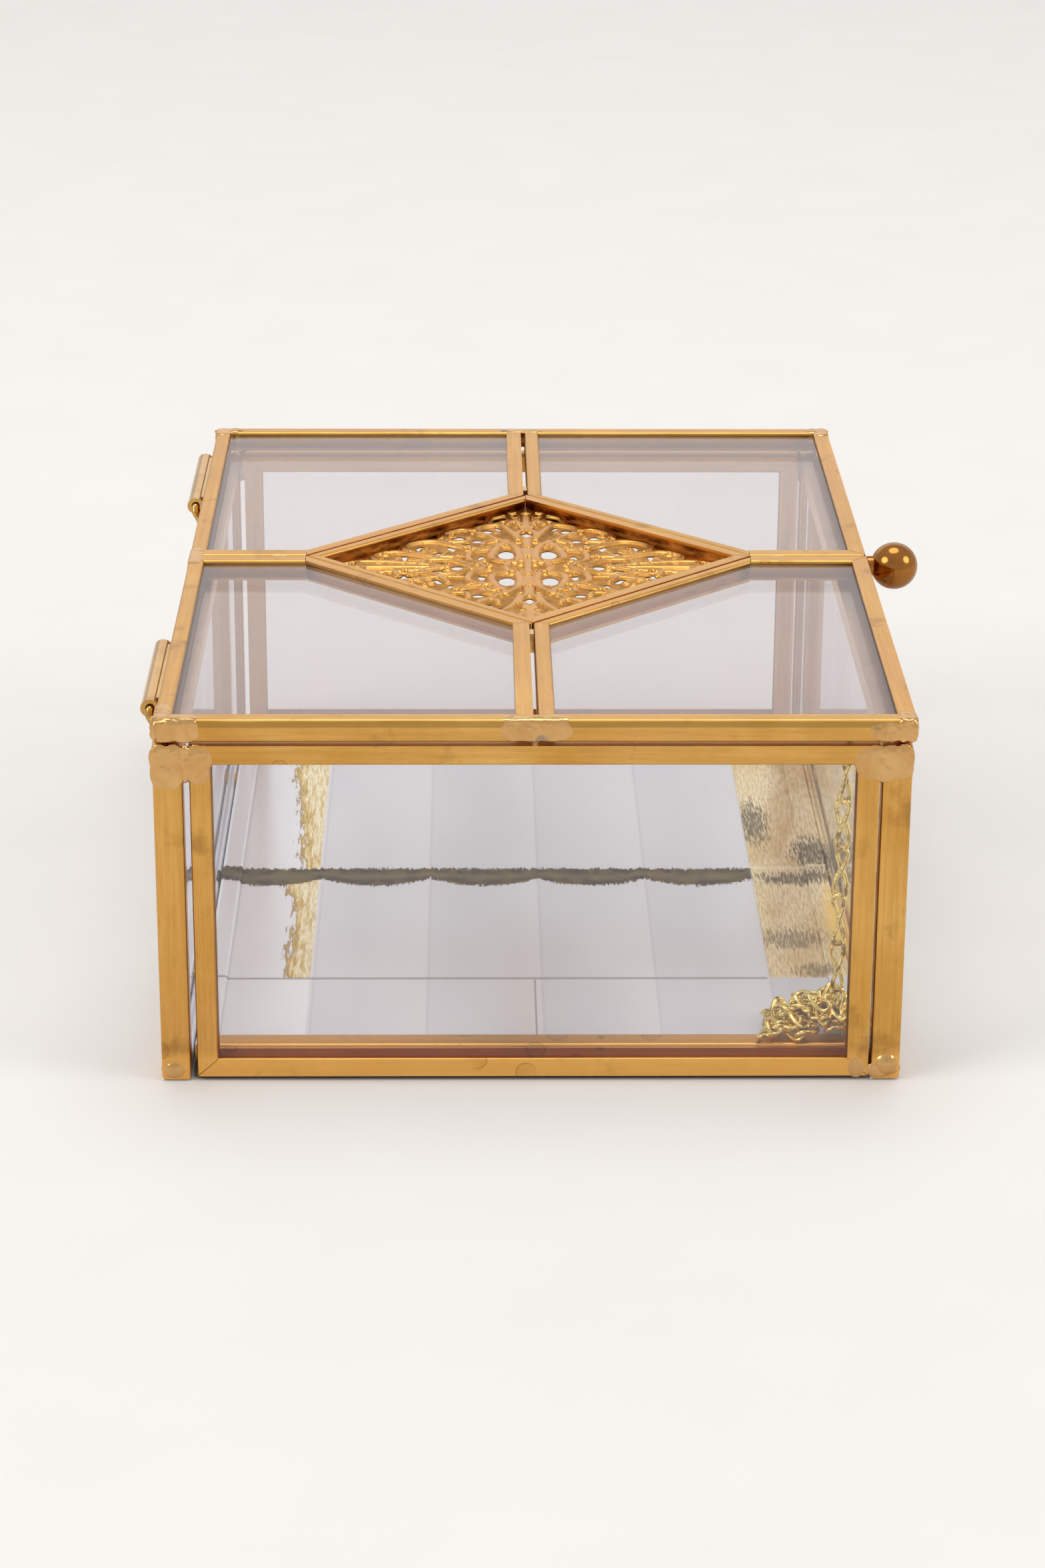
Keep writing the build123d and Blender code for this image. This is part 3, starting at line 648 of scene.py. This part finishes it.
# Scrolls of one quarter: half width, then the points (along X, along Y) that each runs through.
scrolls = [
    (0.75, (0.0, 0.0), (6.0, 0.0), (13.4, 0.0)),
    (0.70, (18.6, 0.0), (23.0, 0.0), (29.6, 0.0)),
    (0.50, (13.4, 0.0), (15.0, 1.35), (17.0, 1.35), (18.6, 0.0)),
    (0.48, (17.5, 0.6), (22.0, 1.2), (25.8, 3.0), (24.6, 5.6), (21.8, 5.8), (21.2, 4.2)),
    (0.50, (13.5, 1.4), (17.5, 2.4), (20.8, 4.4), (19.4, 7.6), (16.2, 7.4), (15.4, 5.2), (16.8, 4.6)),
    (0.52, (12.0, 3.6), (15.5, 6.2), (18.6, 9.8), (16.2, 13.0), (12.8, 12.0), (12.4, 9.4), (14.2, 9.0)),
    (0.54, (8.0, 5.5), (9.6, 9.5), (12.6, 14.4), (11.4, 18.2), (8.4, 18.8), (6.4, 16.6), (7.8, 14.4)),
    (0.50, (5.0, 10.0), (5.0, 14.5), (7.2, 20.0), (5.8, 23.4), (3.0, 23.0), (2.4, 20.4), (4.0, 19.6)),
    (0.48, (0.0, 12.0), (1.6, 17.0), (2.6, 24.0), (1.8, 27.6), (0.0, 28.8)),
    (0.60, (0.0, 31.4), (0.0, 22.0), (0.0, 14.0)),
    (0.55, (2.0, 2.0), (5.2, 1.3), (9.6, 1.7), (12.6, 3.4)),
    (0.55, (2.2, 2.6), (4.2, 5.4), (8.4, 5.0), (11.6, 3.6)),
    (0.48, (0.8, 5.6), (3.0, 8.6), (6.8, 8.8), (8.4, 6.2)),
    (0.48, (1.0, 8.8), (3.2, 11.6), (3.4, 15.0), (1.2, 16.4)),
    (0.42, (9.2, 6.8), (11.8, 6.6), (13.4, 4.2)),
    (0.42, (3.8, 18.0), (3.0, 16.2), (4.4, 13.8), (7.4, 12.0)),
    (0.55, (3.4, 0.0), (2.5, 2.5), (0.0, 3.6)),
    (0.42, (25.6, 0.3), (27.8, 1.4), (27.0, 2.6)),
    (0.42, (20.6, 0.4), (22.6, 1.9), (21.2, 2.9)),
    (0.40, (0.4, 24.6), (1.8, 25.8), (3.0, 25.4)),
    (0.40, (0.0, 6.4), (1.2, 7.6), (0.0, 9.4)),
    (0.42, (9.6, 2.8), (10.8, 4.6), (9.6, 6.2)),
]
# Openings between the scrolls of one quarter: place along X and Y, then size along X and Y.
oval_openings = [
    (6.4, 3.2, 4.0, 2.6), (6.2, 13.3, 2.6, 2.6), (4.6, 18.8, 2.2, 2.8), (16.2, 0.0, 4.2, 2.2),
    (19.8, 4.0, 2.4, 1.8), (0.0, 10.6, 1.8, 2.6), (0.0, 23.6, 1.2, 2.4), (11.6, 9.8, 3.0, 2.0),
    (11.4, 4.9, 2.2, 2.4), (22.8, 0.0, 2.0, 1.3), (9.3, 16.2, 2.2, 1.6), (14.6, 10.6, 1.6, 2.0),
    (18.0, 6.2, 1.6, 1.8), (9.4, 11.6, 2.6, 1.2), (13.2, 7.6, 1.4, 1.8), (4.6, 7.0, 2.6, 1.0),
    (1.6, 13.4, 1.6, 2.4), (1.2, 20.6, 1.3, 3.4),
]
# Beads of one quarter, each with a round hole: along X and Y.
dot_openings = [
    (1.5, 1.0), (2.9, 2.4), (0.0, 3.6), (4.4, 0.0), (9.4, 0.0), (9.9, 6.6), (12.6, 1.3),
    (3.2, 6.6), (1.0, 5.9), (4.4, 10.6), (8.8, 9.0), (8.6, 15.6), (7.1, 17.6), (1.0, 12.2),
    (2.2, 18.6), (1.4, 26.6), (3.6, 22.2), (20.6, 1.2), (22.2, 3.6), (26.0, 0.0), (17.2, 8.2),
    (15.6, 11.6), (13.6, 13.2), (24.6, 1.7), (11.2, 11.0), (6.2, 21.6),
]
dot_radius = 0.34
bead_radius = 0.85


def smooth_path(points, step=0.12):
    """Evenly spaced places on a smooth curve through the given points."""
    points = np.array(points, float)
    padded = np.vstack([2 * points[0] - points[1], points, 2 * points[-1] - points[-2]])
    places = []
    for first, second, third, fourth in zip(padded, padded[1:], padded[2:], padded[3:]):
        count = max(2, int(np.linalg.norm(third - second) / step))
        t = (np.arange(count) / count)[:, None]
        curve = 2 * second + (third - first) * t
        curve = curve + (2 * first - 5 * second + 4 * third - fourth) * t**2
        curve = curve + (3 * second - first - 3 * third + fourth) * t**3
        places.append(0.5 * curve)
    return np.vstack(places + [points[-1:]])


def filigree_fields(x, y):
    """The sheet's edge distance (positive in metal) and the height of its raised pattern."""
    x, y = np.abs(x), np.abs(y)
    side = sqrt(rhombus_half_x**2 + rhombus_half_y**2)
    rim = (rhombus_half_x * rhombus_half_y - x * rhombus_half_y - y * rhombus_half_x) / side
    metal = rim - plate_edge - 3.1
    for along_x, along_y, size_x, size_y in oval_openings:
        reach = np.hypot((x - along_x) / (size_x / 2), (y - along_y) / (size_y / 2))
        metal = np.minimum(metal, (reach - 1) * min(size_x, size_y) / 2)
    rise = np.zeros_like(x)
    for half_width, *points in scrolls:
        path = smooth_path(points)
        share = np.linspace(0, 1, len(path))
        widths = 1.3 * half_width * (0.62 + 0.38 * np.sin(pi * np.clip(share * 0.9 + 0.05, 0, 1)) ** 0.7)
        widths[-6:] *= 1.25
        low, high = path.min(0) - 1.4, path.max(0) + 1.4
        near = (x > low[0]) & (x < high[0]) & (y > low[1]) & (y < high[1])
        gap = np.hypot(x[near][:, None] - path[:, 0], y[near][:, None] - path[:, 1])
        share_out = gap / widths
        crest = np.sqrt(np.clip(1 - share_out**2, 0, 1)).max(1)
        groove = np.exp(-((gap.min(1) / 0.13) ** 2)) * 0.22
        rise[near] = np.maximum(rise[near], np.clip(crest - groove, 0, 1))
        metal[near] = np.maximum(metal[near], (widths * 1.12 - gap).max(1))
    for along_x, along_y in dot_openings:
        gap = np.hypot(x - along_x, y - along_y)
        rise = np.maximum(rise, np.sqrt(np.clip(1 - (gap / bead_radius) ** 2, 0, 1)) * 0.8)
        metal = np.maximum(metal, bead_radius * 1.05 - gap)
    for along_x, along_y in dot_openings:
        metal = np.minimum(metal, np.hypot(x - along_x, y - along_y) - dot_radius)
    metal = np.minimum(metal, rim - plate_edge)
    return metal, rise * np.clip(metal / 0.2, 0.25, 1)


def filigree_sheet():
    count_x = int(2 * rhombus_half_x / grid_step) + 1
    count_y = int(2 * rhombus_half_y / grid_step) + 1
    line_x = (np.arange(count_x) - (count_x - 1) / 2) * grid_step
    line_y = (np.arange(count_y) - (count_y - 1) / 2) * grid_step
    x, y = np.meshgrid(line_x, line_y, indexing="ij")
    metal, rise = filigree_fields(x, y)
    keep = (metal[:-1, :-1] + metal[1:, :-1] + metal[:-1, 1:] + metal[1:, 1:]) > 0
    # Cells that touch only at a corner would pinch the sheet, so one of the pair is dropped.
    pinch = keep[:-1, :-1] & keep[1:, 1:] & ~keep[1:, :-1] & ~keep[:-1, 1:]
    keep[:-1, :-1] &= ~pinch
    pinch = keep[1:, :-1] & keep[:-1, 1:] & ~keep[:-1, :-1] & ~keep[1:, 1:]
    keep[1:, :-1] &= ~pinch
    cells_x, cells_y = np.nonzero(keep)
    corner = np.arange(count_x * count_y).reshape(count_x, count_y)
    ring = ((0, 0), (1, 0), (1, 1), (0, 1))
    quads = np.stack([corner[cells_x + i, cells_y + j] for i, j in ring], 1)
    edges = np.concatenate([quads[:, [k, (k + 1) % 4]] for k in range(4)])
    key = edges.min(1) * (count_x * count_y) + edges.max(1)
    _, where, times = np.unique(key, return_index=True, return_counts=True)
    rim_edges = edges[where[times == 1]]
    on_rim = np.zeros(count_x * count_y, bool)
    on_rim[rim_edges.ravel()] = True
    slope_x, slope_y = np.gradient(metal, grid_step)
    size = np.maximum(np.hypot(slope_x, slope_y), 0.3)
    step_out = np.clip(metal / size, -0.75 * grid_step, 0.75 * grid_step)
    flat_x, flat_y = x.ravel().copy(), y.ravel().copy()
    flat_x[on_rim] -= (step_out * slope_x / size).ravel()[on_rim]
    flat_y[on_rim] -= (step_out * slope_y / size).ravel()[on_rim]
    top = plate_low + sheet_thick + scroll_rise * rise.ravel()
    top[on_rim] = plate_low + sheet_thick + 0.3 * scroll_rise * rise.ravel()[on_rim]
    used, place = np.unique(quads, return_inverse=True)
    place = place.reshape(quads.shape)
    new_index = np.zeros(count_x * count_y, int)
    new_index[used] = np.arange(len(used))
    upper = np.stack([flat_x[used] + rhombus_x, flat_y[used] + lid_shift, top[used]], 1)
    lower = upper.copy()
    lower[:, 2] = plate_low
    count = len(used)
    rim_edges = new_index[rim_edges]
    rim_start, rim_end = rim_edges.T
    walls = np.stack([rim_end, rim_start, rim_start + count, rim_end + count], 1)
    faces = np.concatenate([place, place[:, ::-1] + count, walls])
    mesh = bpy.data.meshes.new("filigree_sheet")
    mesh.from_pydata((np.concatenate([upper, lower]) * MM).tolist(), [], faces.tolist())
    mesh.validate()
    mesh.shade_smooth()
    mesh.set_sharp_from_angle(angle=radians(50))
    return mesh


def add_piece(name, mesh, body, material, slot, *node_names):
    """Puts a finished mesh in the scene on its body, in place of the named CAD nodes."""
    piece = bpy.data.objects.new(name, mesh)
    bpy.context.scene.collection.objects.link(piece)
    mesh.materials.append(material)
    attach(piece, body)
    if node_names:
        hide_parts(*node_names)


add_piece("filigree_scrolls", filigree_sheet(), "lid", filigree_brass, "filigree_brass", "filigree_plate")


# ---- solder: lumps grown over the joints ----
def grown_lump(name, balls, seed, fineness=0.15, ripple=0.07):
    """One skin around a set of overlapping balls (centre, radii in mm), softened and rippled."""
    shape = bmesh.new()
    for centre, radii in balls:
        matrix = Matrix.Translation(centre) @ Matrix.Diagonal((*radii, 1))
        bmesh.ops.create_icosphere(shape, subdivisions=4, radius=1, matrix=matrix)
    rough = bpy.data.meshes.new(name + "_rough")
    shape.to_mesh(rough)
    shape.free()
    holder = bpy.data.objects.new(name + "_rough", rough)
    bpy.context.scene.collection.objects.link(holder)
    skin = holder.modifiers.new("skin", "REMESH")
    skin.mode = "VOXEL"
    skin.voxel_size = fineness
    soft = holder.modifiers.new("soft", "SMOOTH")
    soft.factor = 0.5
    soft.iterations = 6
    bpy.context.view_layer.update()
    graph = bpy.context.evaluated_depsgraph_get()
    mesh = bpy.data.meshes.new_from_object(holder.evaluated_get(graph))
    mesh.name = name
    bpy.data.objects.remove(holder)
    bpy.data.meshes.remove(rough)
    shift = Vector((seed * 7.3, seed * 3.1, seed * 5.7))
    moved = []
    for vertex in mesh.vertices:
        broad = noise.noise(vertex.co * 0.55 + shift)
        fine = noise.noise(vertex.co * 1.9 + shift)
        moved.append((vertex.co + vertex.normal * ripple * (1.3 * broad + 0.5 * fine)) * MM)
    for vertex, place in zip(mesh.vertices, moved):
        vertex.co = place
    mesh.shade_smooth()
    return mesh


skin_depth = 0.25
skin_half = 0.5


def end_face_lobes(sign_x, sign_y, lobes):
    """Flat lobes on an end face: (in from the corner, half width, height, half height) of each."""
    balls = []
    for inward, half_wide, height, half_high in lobes:
        centre = (sign_x * (half_length - skin_depth), sign_y * (half_depth - inward), height)
        balls.append((centre, (skin_half, half_wide, half_high)))
    return balls


def post_head(sign_x, sign_y):
    """Solder around a post's head: the edge, the long face and the top."""
    face_x = sign_x * half_length
    face_y = sign_y * half_depth
    return [
        ((face_x - sign_x * 1.3, face_y - sign_y * 1.3, 46.6), (1.46, 1.46, 2.8)),
        ((face_x - sign_x * 1.4, face_y - sign_y * skin_depth, 46.4), (1.5, skin_half, 2.9)),
        ((face_x - sign_x * 3.6, face_y - sign_y * skin_depth, 47.9), (2.2, skin_half, 1.4)),
        ((face_x - sign_x * 2.2, face_y - sign_y * 2.0, case_height - 0.3), (2.4, 2.1, 0.42)),
    ]


def lid_corner_lump(sign_x, sign_y, reach_x, reach_y):
    """Solder over a lid corner: its two edges and a patch of the top."""
    face_x = sign_x * half_length
    face_y = sign_y * half_depth + lid_shift
    middle = (lid_low + lid_high) / 2
    top = lid_high - 0.16
    balls = [((face_x - sign_x * 1.0, face_y - sign_y * 1.0, middle), (1.22, 1.22, 1.75))]
    for share in (0.25, 0.72):
        for rise in (-0.42, 0.48):
            height = middle + rise
            wide_x = 0.36 * reach_x
            wide_y = 0.36 * reach_y
            in_x = face_x - sign_x * reach_x * share
            in_y = face_y - sign_y * reach_y * share
            balls.append(((face_x - sign_x * 0.18, in_y, height), (0.44, wide_y, 1.35)))
            balls.append(((in_x, face_y - sign_y * 0.18, height), (wide_x, 0.44, 1.35)))
        balls.append(((face_x - sign_x * 1.1, in_y, top), (1.2, wide_y, 0.4)))
        balls.append(((in_x, face_y - sign_y * 1.1, top), (wide_x, 1.2, 0.4)))
    return balls


def edge_patch(x, y, along_x, half_width):
    """Solder over the middle of a lid edge: the outer face, the upper corner and the top."""
    middle = (lid_low + lid_high) / 2
    inward = Vector((0 if along_x else -1 if x > 0 else 1, (-1 if y > 0 else 1) if along_x else 0, 0))
    sideways = Vector((1, 0, 0)) if along_x else Vector((0, 1, 0))
    start = Vector((x, y, 0))
    balls = []
    for share, size in ((-0.45, 0.62), (0.1, 0.72), (0.55, 0.5)):
        centre = start + sideways * half_width * share
        wide = half_width * size
        face = centre + inward * 0.12 + Vector((0, 0, middle))
        top = centre + inward * 1.0 + Vector((0, 0, lid_high - 0.14))
        rim = centre + inward * 0.5 + Vector((0, 0, lid_high - 0.45))
        if along_x:
            balls += [(face, (wide, 0.36, 1.6)), (top, (wide, 1.15, 0.32)), (rim, (wide, 0.66, 0.6))]
        else:
            balls += [(face, (0.36, wide, 1.6)), (top, (1.15, wide, 0.32)), (rim, (0.66, wide, 0.6))]
    return balls


def solder_piece(name, body, balls, seed, *node_names):
    add_piece(name, grown_lump(name, balls, seed), body, solder, "solder", *node_names)


slit_back = half_depth - side_web - back_slit / 2
slit_front = -half_depth + side_web + front_slit / 2
two_lobed = [
    (1.0, 1.5, 47.5, 2.1),
    (2.8, 1.6, 47.4, 2.2),
    (1.2, 1.6, 45.3, 2.4),
    (2.6, 1.6, 45.0, 2.3),
    (5.9, 1.3, 47.5, 2.1),
    (7.0, 1.2, 47.5, 2.0),
    (6.2, 1.6, 45.4, 2.1),
]
one_lobed = [
    (1.2, 1.5, 47.7, 1.9),
    (3.0, 1.9, 47.5, 2.0),
    (5.0, 1.9, 47.4, 2.1),
    (6.3, 1.6, 47.1, 2.1),
    (1.6, 1.8, 45.9, 1.7),
    (3.6, 2.0, 45.6, 1.8),
    (5.6, 2.0, 45.9, 1.8),
]
foot_lobes = [(6.0, 1.4, 1.8, 1.7), (2.4, 1.9, 1.5, 1.35), (3.4, 1.2, 1.35, 1.2)]
bead = [((-half_length + 0.12, slit_back, 44.9 + 0.62 * k), (0.5, 0.52, 0.95)) for k in range(7)]
crease = [((-half_length + 0.22, slit_front, 46.6), (0.5, 0.9, 2.0))]
heads = {
    "left_back": end_face_lobes(-1, 1, two_lobed) + bead,
    "left_front": end_face_lobes(-1, -1, one_lobed + foot_lobes) + crease,
    "right_back": end_face_lobes(1, 1, one_lobed),
    "right_front": end_face_lobes(1, -1, one_lobed),
}
for count, (corner, balls) in enumerate(heads.items()):
    sign_x = -1 if corner.startswith("left") else 1
    sign_y = -1 if corner.endswith("front") else 1
    wide = 2.3 if corner == "left_front" else 1.5
    foot = (
        (sign_x * (half_length - 0.2), sign_y * (half_depth - wide - 0.3), 1.4),
        (0.5, wide, 1.25),
    )
    toe = ((sign_x * (half_length - 1.0), sign_y * (half_depth - 0.9), 1.25), (1.2, 1.1, 1.1))
    balls += post_head(sign_x, sign_y) + [foot, toe]
    solder_piece("lump_case_" + corner, "case", balls, 1 + count, "solder_case_" + corner)

lid_lumps = {
    "left_front": (-1, -1, 3.2, 2.4),
    "left_back": (-1, 1, 6.2, 5.8),
    "right_front": (1, -1, 4.0, 3.4),
    "right_back": (1, 1, 3.6, 4.2),
}
smear = ((-half_length + 0.12, lid_shift - half_depth + 3.8, 51.3), (0.36, 2.8, 1.5))
for count, (corner, shape) in enumerate(lid_lumps.items()):
    balls = lid_corner_lump(*shape)
    if corner == "left_front":
        balls.append(smear)
    solder_piece("lump_lid_" + corner, "lid", balls, 11 + count, "solder_lid_" + corner)

# A hinge wire's bent end, from the solder up to the tube: places along Y and heights.
wire_bend = [(50.9, 48.0), (51.5, 48.9), (hinge_y, 49.8)]


def bent_wire(low_x, high_x):
    """Hinge wire through a tube, each end bent in under a dab of solder on the back panel."""
    balls = []
    for x, inward in ((low_x - 0.9, 1), (high_x + 0.9, -1)):
        bend = [(x, y, height) for y, height in wire_bend]
        bend += [(x + inward * reach, hinge_y, hinge_z) for reach in (0.4, 1.6)]
        for start, end in zip(bend, bend[1:]):
            for share in (0.0, 0.25, 0.5, 0.75):
                place = Vector(start).lerp(Vector(end), share)
                balls.append((place[:], (0.58, 0.58, 0.58)))
        balls.append(((x, 51.0, 47.6), (1.7, 0.55, 1.3)))
        balls.append(((x, 51.1, 48.2), (1.1, 0.7, 0.8)))
    return balls


def straight_wire(name, low_x, high_x):
    """The hidden run of the wire inside the tube."""
    shape = bmesh.new()
    centre = ((low_x + high_x) / 2 * MM, hinge_y * MM, hinge_z * MM)
    matrix = Matrix.Translation(centre) @ Matrix.Rotation(pi / 2, 4, "Y")
    bmesh.ops.create_cone(
        shape,
        cap_ends=True,
        segments=24,
        radius1=0.55 * MM,
        radius2=0.55 * MM,
        depth=(high_x - low_x + 0.6) * MM,
        matrix=matrix,
    )
    mesh = bpy.data.meshes.new(name)
    shape.to_mesh(mesh)
    shape.free()
    mesh.shade_smooth()
    mesh.set_sharp_from_angle(angle=radians(40))
    return mesh


for side, low_x, high_x in (("left", -tube_far, -tube_near), ("right", tube_near, tube_far)):
    name = "bent_wire_" + side
    mesh = grown_lump(name, bent_wire(low_x, high_x), 31, fineness=0.12, ripple=0.02)
    add_piece(name, mesh, "case", tube_brass, "came_brass", "hinge_wire_" + side)
    mesh = straight_wire("straight_wire", low_x, high_x)
    add_piece("straight_wire_" + side, mesh, "case", tube_brass, "came_brass")

ends = edge_patch(-half_length, lid_shift, False, 4.9) + edge_patch(half_length, lid_shift, False, 3.8)
solder_piece("lump_lid_ends", "lid", ends, 21, "solder_lid_ends")
back = edge_patch(rhombus_x, half_depth + lid_shift, True, 4.4)
solder_piece("lump_lid_back", "lid", back, 22, "solder_lid_back")


# ---- chain: twisted oval links bent from round wire ----
link_wire = 0.33
link_length = 4.6
link_width = 2.5
link_pitch = 3.55
wire_sides = 8
wire_steps = 28


def link_shape(matrix, twist):
    """Points and faces of one closed oval link, its long side along the matrix's X."""
    turn = np.linspace(0, 2 * pi, wire_steps, endpoint=False)
    reach = link_length / 2 - link_wire
    half = link_width / 2 - link_wire
    oval = half * np.sign(np.sin(turn)) * np.abs(np.sin(turn)) ** 0.8
    centre = np.stack([reach * np.cos(turn), oval, twist * np.sin(2 * turn)], 1)
    ahead = np.roll(centre, -1, 0) - np.roll(centre, 1, 0)
    ahead /= np.linalg.norm(ahead, axis=1)[:, None]
    side = np.cross(ahead, (0, 0, 1))
    side /= np.linalg.norm(side, axis=1)[:, None]
    up = np.cross(side, ahead)
    points = []
    for k in range(wire_sides):
        angle = 2 * pi * k / wire_sides
        points.append(centre + link_wire * (cos(angle) * side + sin(angle) * up))
    points = np.stack(points, 1).reshape(-1, 3)
    points = points @ np.array(matrix.to_3x3()).T + np.array(matrix.translation)
    faces = []
    for i in range(wire_steps):
        for k in range(wire_sides):
            start = i * wire_sides
            after = (i + 1) % wire_steps * wire_sides
            after_k = (k + 1) % wire_sides
            faces.append((start + k, start + after_k, after + after_k, after + k))
    return points, faces


def chain_mesh(name, placed):
    points = []
    faces = []
    for matrix, twist in placed:
        new_points, new_faces = link_shape(matrix, twist)
        base = sum(map(len, points))
        points.append(new_points)
        faces += [tuple(base + corner for corner in face) for face in new_faces]
    mesh = bpy.data.meshes.new(name)
    mesh.from_pydata((np.vstack(points) * MM).tolist(), [], faces)
    mesh.shade_smooth()
    return mesh


def hanging_links(node, luck, first_roll):
    """Links down a strand, in the box of the node they stand in for, a little out of line."""
    low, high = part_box(node)
    low, high = Vector(low) / MM, Vector(high) / MM
    middle = (low + high) / 2
    count = round((high.z - low.z - link_length) / link_pitch) + 1
    placed = []
    for k in range(count):
        height = high.z - link_length / 2 - k * link_pitch
        calm = 0.3 if k == 0 else 1.0
        x = middle.x + luck.uniform(-0.22, 0.22) * calm
        y = middle.y + luck.uniform(-0.22, 0.22) * calm
        place = Vector((x, y, height))
        lean = Matrix.Rotation(luck.uniform(-0.1, 0.1) * calm, 4, "X")
        roll = Matrix.Rotation(radians(first_roll + 90 * k + luck.uniform(-22, 22) * calm), 4, "Z")
        stand = Matrix.Rotation(pi / 2, 4, "Y")
        placed.append((Matrix.Translation(place) @ lean @ roll @ stand, luck.uniform(0.3, 0.5)))
    return placed


heap_x = -60.6
heap_y = -39.3


def heaped_links(luck, count):
    """A small mound of links in the corner, lowest first, lying at all angles."""
    placed = []
    for k in range(count):
        share = k / count
        spread = 1 - 0.55 * share
        x = heap_x + luck.uniform(-1, 1) * 3.7 * spread
        y = heap_y + (luck.uniform(-0.8, 1) - 0.4 * share) * 7.4 * spread
        height = floor_top + 0.75 + 4.0 * share * luck.uniform(0.75, 1.0)
        turn = Matrix.Rotation(luck.uniform(0, 2 * pi), 4, "Z")
        tilt = Matrix.Rotation(luck.uniform(-0.12, 0.12) - 0.35 * share, 4, "Y")
        roll = Matrix.Rotation(luck.uniform(-0.35, 0.35) * (1 + share), 4, "X")
        lie = Matrix.Translation((x, y, height)) @ turn @ tilt @ roll
        placed.append((lie, luck.uniform(0.2, 0.42)))
    return placed


chain_luck = Random(7)
strands = {
    "links_drop": (hanging_links("chain_drop", chain_luck, 40), "chain_strand", "chain_drop"),
    "links_riser": (hanging_links("chain_riser", chain_luck, -50), "case", "chain_riser"),
    "links_heap": (heaped_links(chain_luck, 60), "case", "chain_heap"),
}
for name, (placed, body, stand_in_for) in strands.items():
    add_piece(name, chain_mesh(name, placed), body, chain_brass, "chain_brass", stand_in_for)


# ---- floor, sky and lights ----
def plain_floor():
    mesh = bpy.data.meshes.new("floor")
    edge = 6.0
    low = -0.0002
    corners = [(-edge, -edge, low), (edge, -edge, low), (edge, edge, low), (-edge, edge, low)]
    mesh.from_pydata(corners, [], [(0, 1, 2, 3)])
    floor = bpy.data.objects.new("floor", mesh)
    bpy.context.scene.collection.objects.link(floor)
    s = Shader("floor_paper")
    paper = s.noise(s.place, 40, 3)
    colour = s.mix(s.ramp(paper, (0.3, 0), (0.7, 1)), (0.715, 0.70, 0.675), (0.73, 0.715, 0.69))
    s.surface(colour, 0.9, None, 0.0, Specular_IOR_Level=0.1)
    mesh.materials.append(s.material)


sky_strength = 0.84


def pale_sky():
    world = bpy.data.worlds.new("studio")
    bpy.context.scene.world = world
    world.use_nodes = True
    tree = world.node_tree
    tree.nodes.clear()
    output = tree.nodes.new("ShaderNodeOutputWorld")
    background = tree.nodes.new("ShaderNodeBackground")
    place = tree.nodes.new("ShaderNodeTexCoord")
    split = tree.nodes.new("ShaderNodeSeparateXYZ")
    ramp = tree.nodes.new("ShaderNodeValToRGB")
    tree.links.new(place.outputs["Generated"], split.inputs["Vector"])
    tree.links.new(split.outputs["Z"], ramp.inputs["Fac"])
    stops = [
        (0.0, (0.93, 0.90, 0.86)),
        (0.08, (0.93, 0.90, 0.86)),
        (0.25, (0.88, 0.87, 0.87)),
        (0.55, (0.78, 0.78, 0.80)),
        (1.0, (1.0, 1.0, 1.0)),
    ]
    elements = ramp.color_ramp.elements
    while len(elements) < len(stops):
        elements.new(0.5)
    for element, (position, colour) in zip(elements, stops):
        element.position = position
        element.color = (*colour, 1)
    tree.links.new(ramp.outputs["Color"], background.inputs["Color"])
    background.inputs["Strength"].default_value = sky_strength
    tree.links.new(background.outputs["Background"], output.inputs["Surface"])


def soft_lamp(name, place, aim, width, height, power, colour=(1, 1, 1)):
    data = bpy.data.lights.new(name, "AREA")
    data.shape = "ELLIPSE"
    data.size = width
    data.size_y = height
    data.energy = power
    data.color = colour
    lamp = bpy.data.objects.new(name, data)
    bpy.context.scene.collection.objects.link(lamp)
    lamp.location = place
    lamp.rotation_euler = (Vector(aim) - Vector(place)).to_track_quat("-Z", "Y").to_euler()


plain_floor()
pale_sky()
soft_lamp("lamp_left", (-0.5, 1.1, 0.9), (0, 0, 0.03), 0.9, 0.7, 7, (1.0, 0.98, 0.95))
soft_lamp("lamp_right", (-0.4, -1.2, 0.8), (0, 0, 0.03), 0.8, 0.7, 5, (1.0, 0.98, 0.95))
soft_lamp("lamp_top", (0.2, 0.0, 1.3), (0, 0, 0), 0.8, 0.8, 5)
soft_lamp("lamp_back", (1.7, 0.0, 0.85), (0, 0, 0.05), 3.0, 0.9, 3.2, (1.0, 0.97, 0.94))

scene = bpy.context.scene
scene.view_settings.view_transform = "Standard"
scene.view_settings.look = "None"
scene.cycles.max_bounces = 16
scene.cycles.transparent_max_bounces = 24
scene.cycles.glossy_bounces = 8
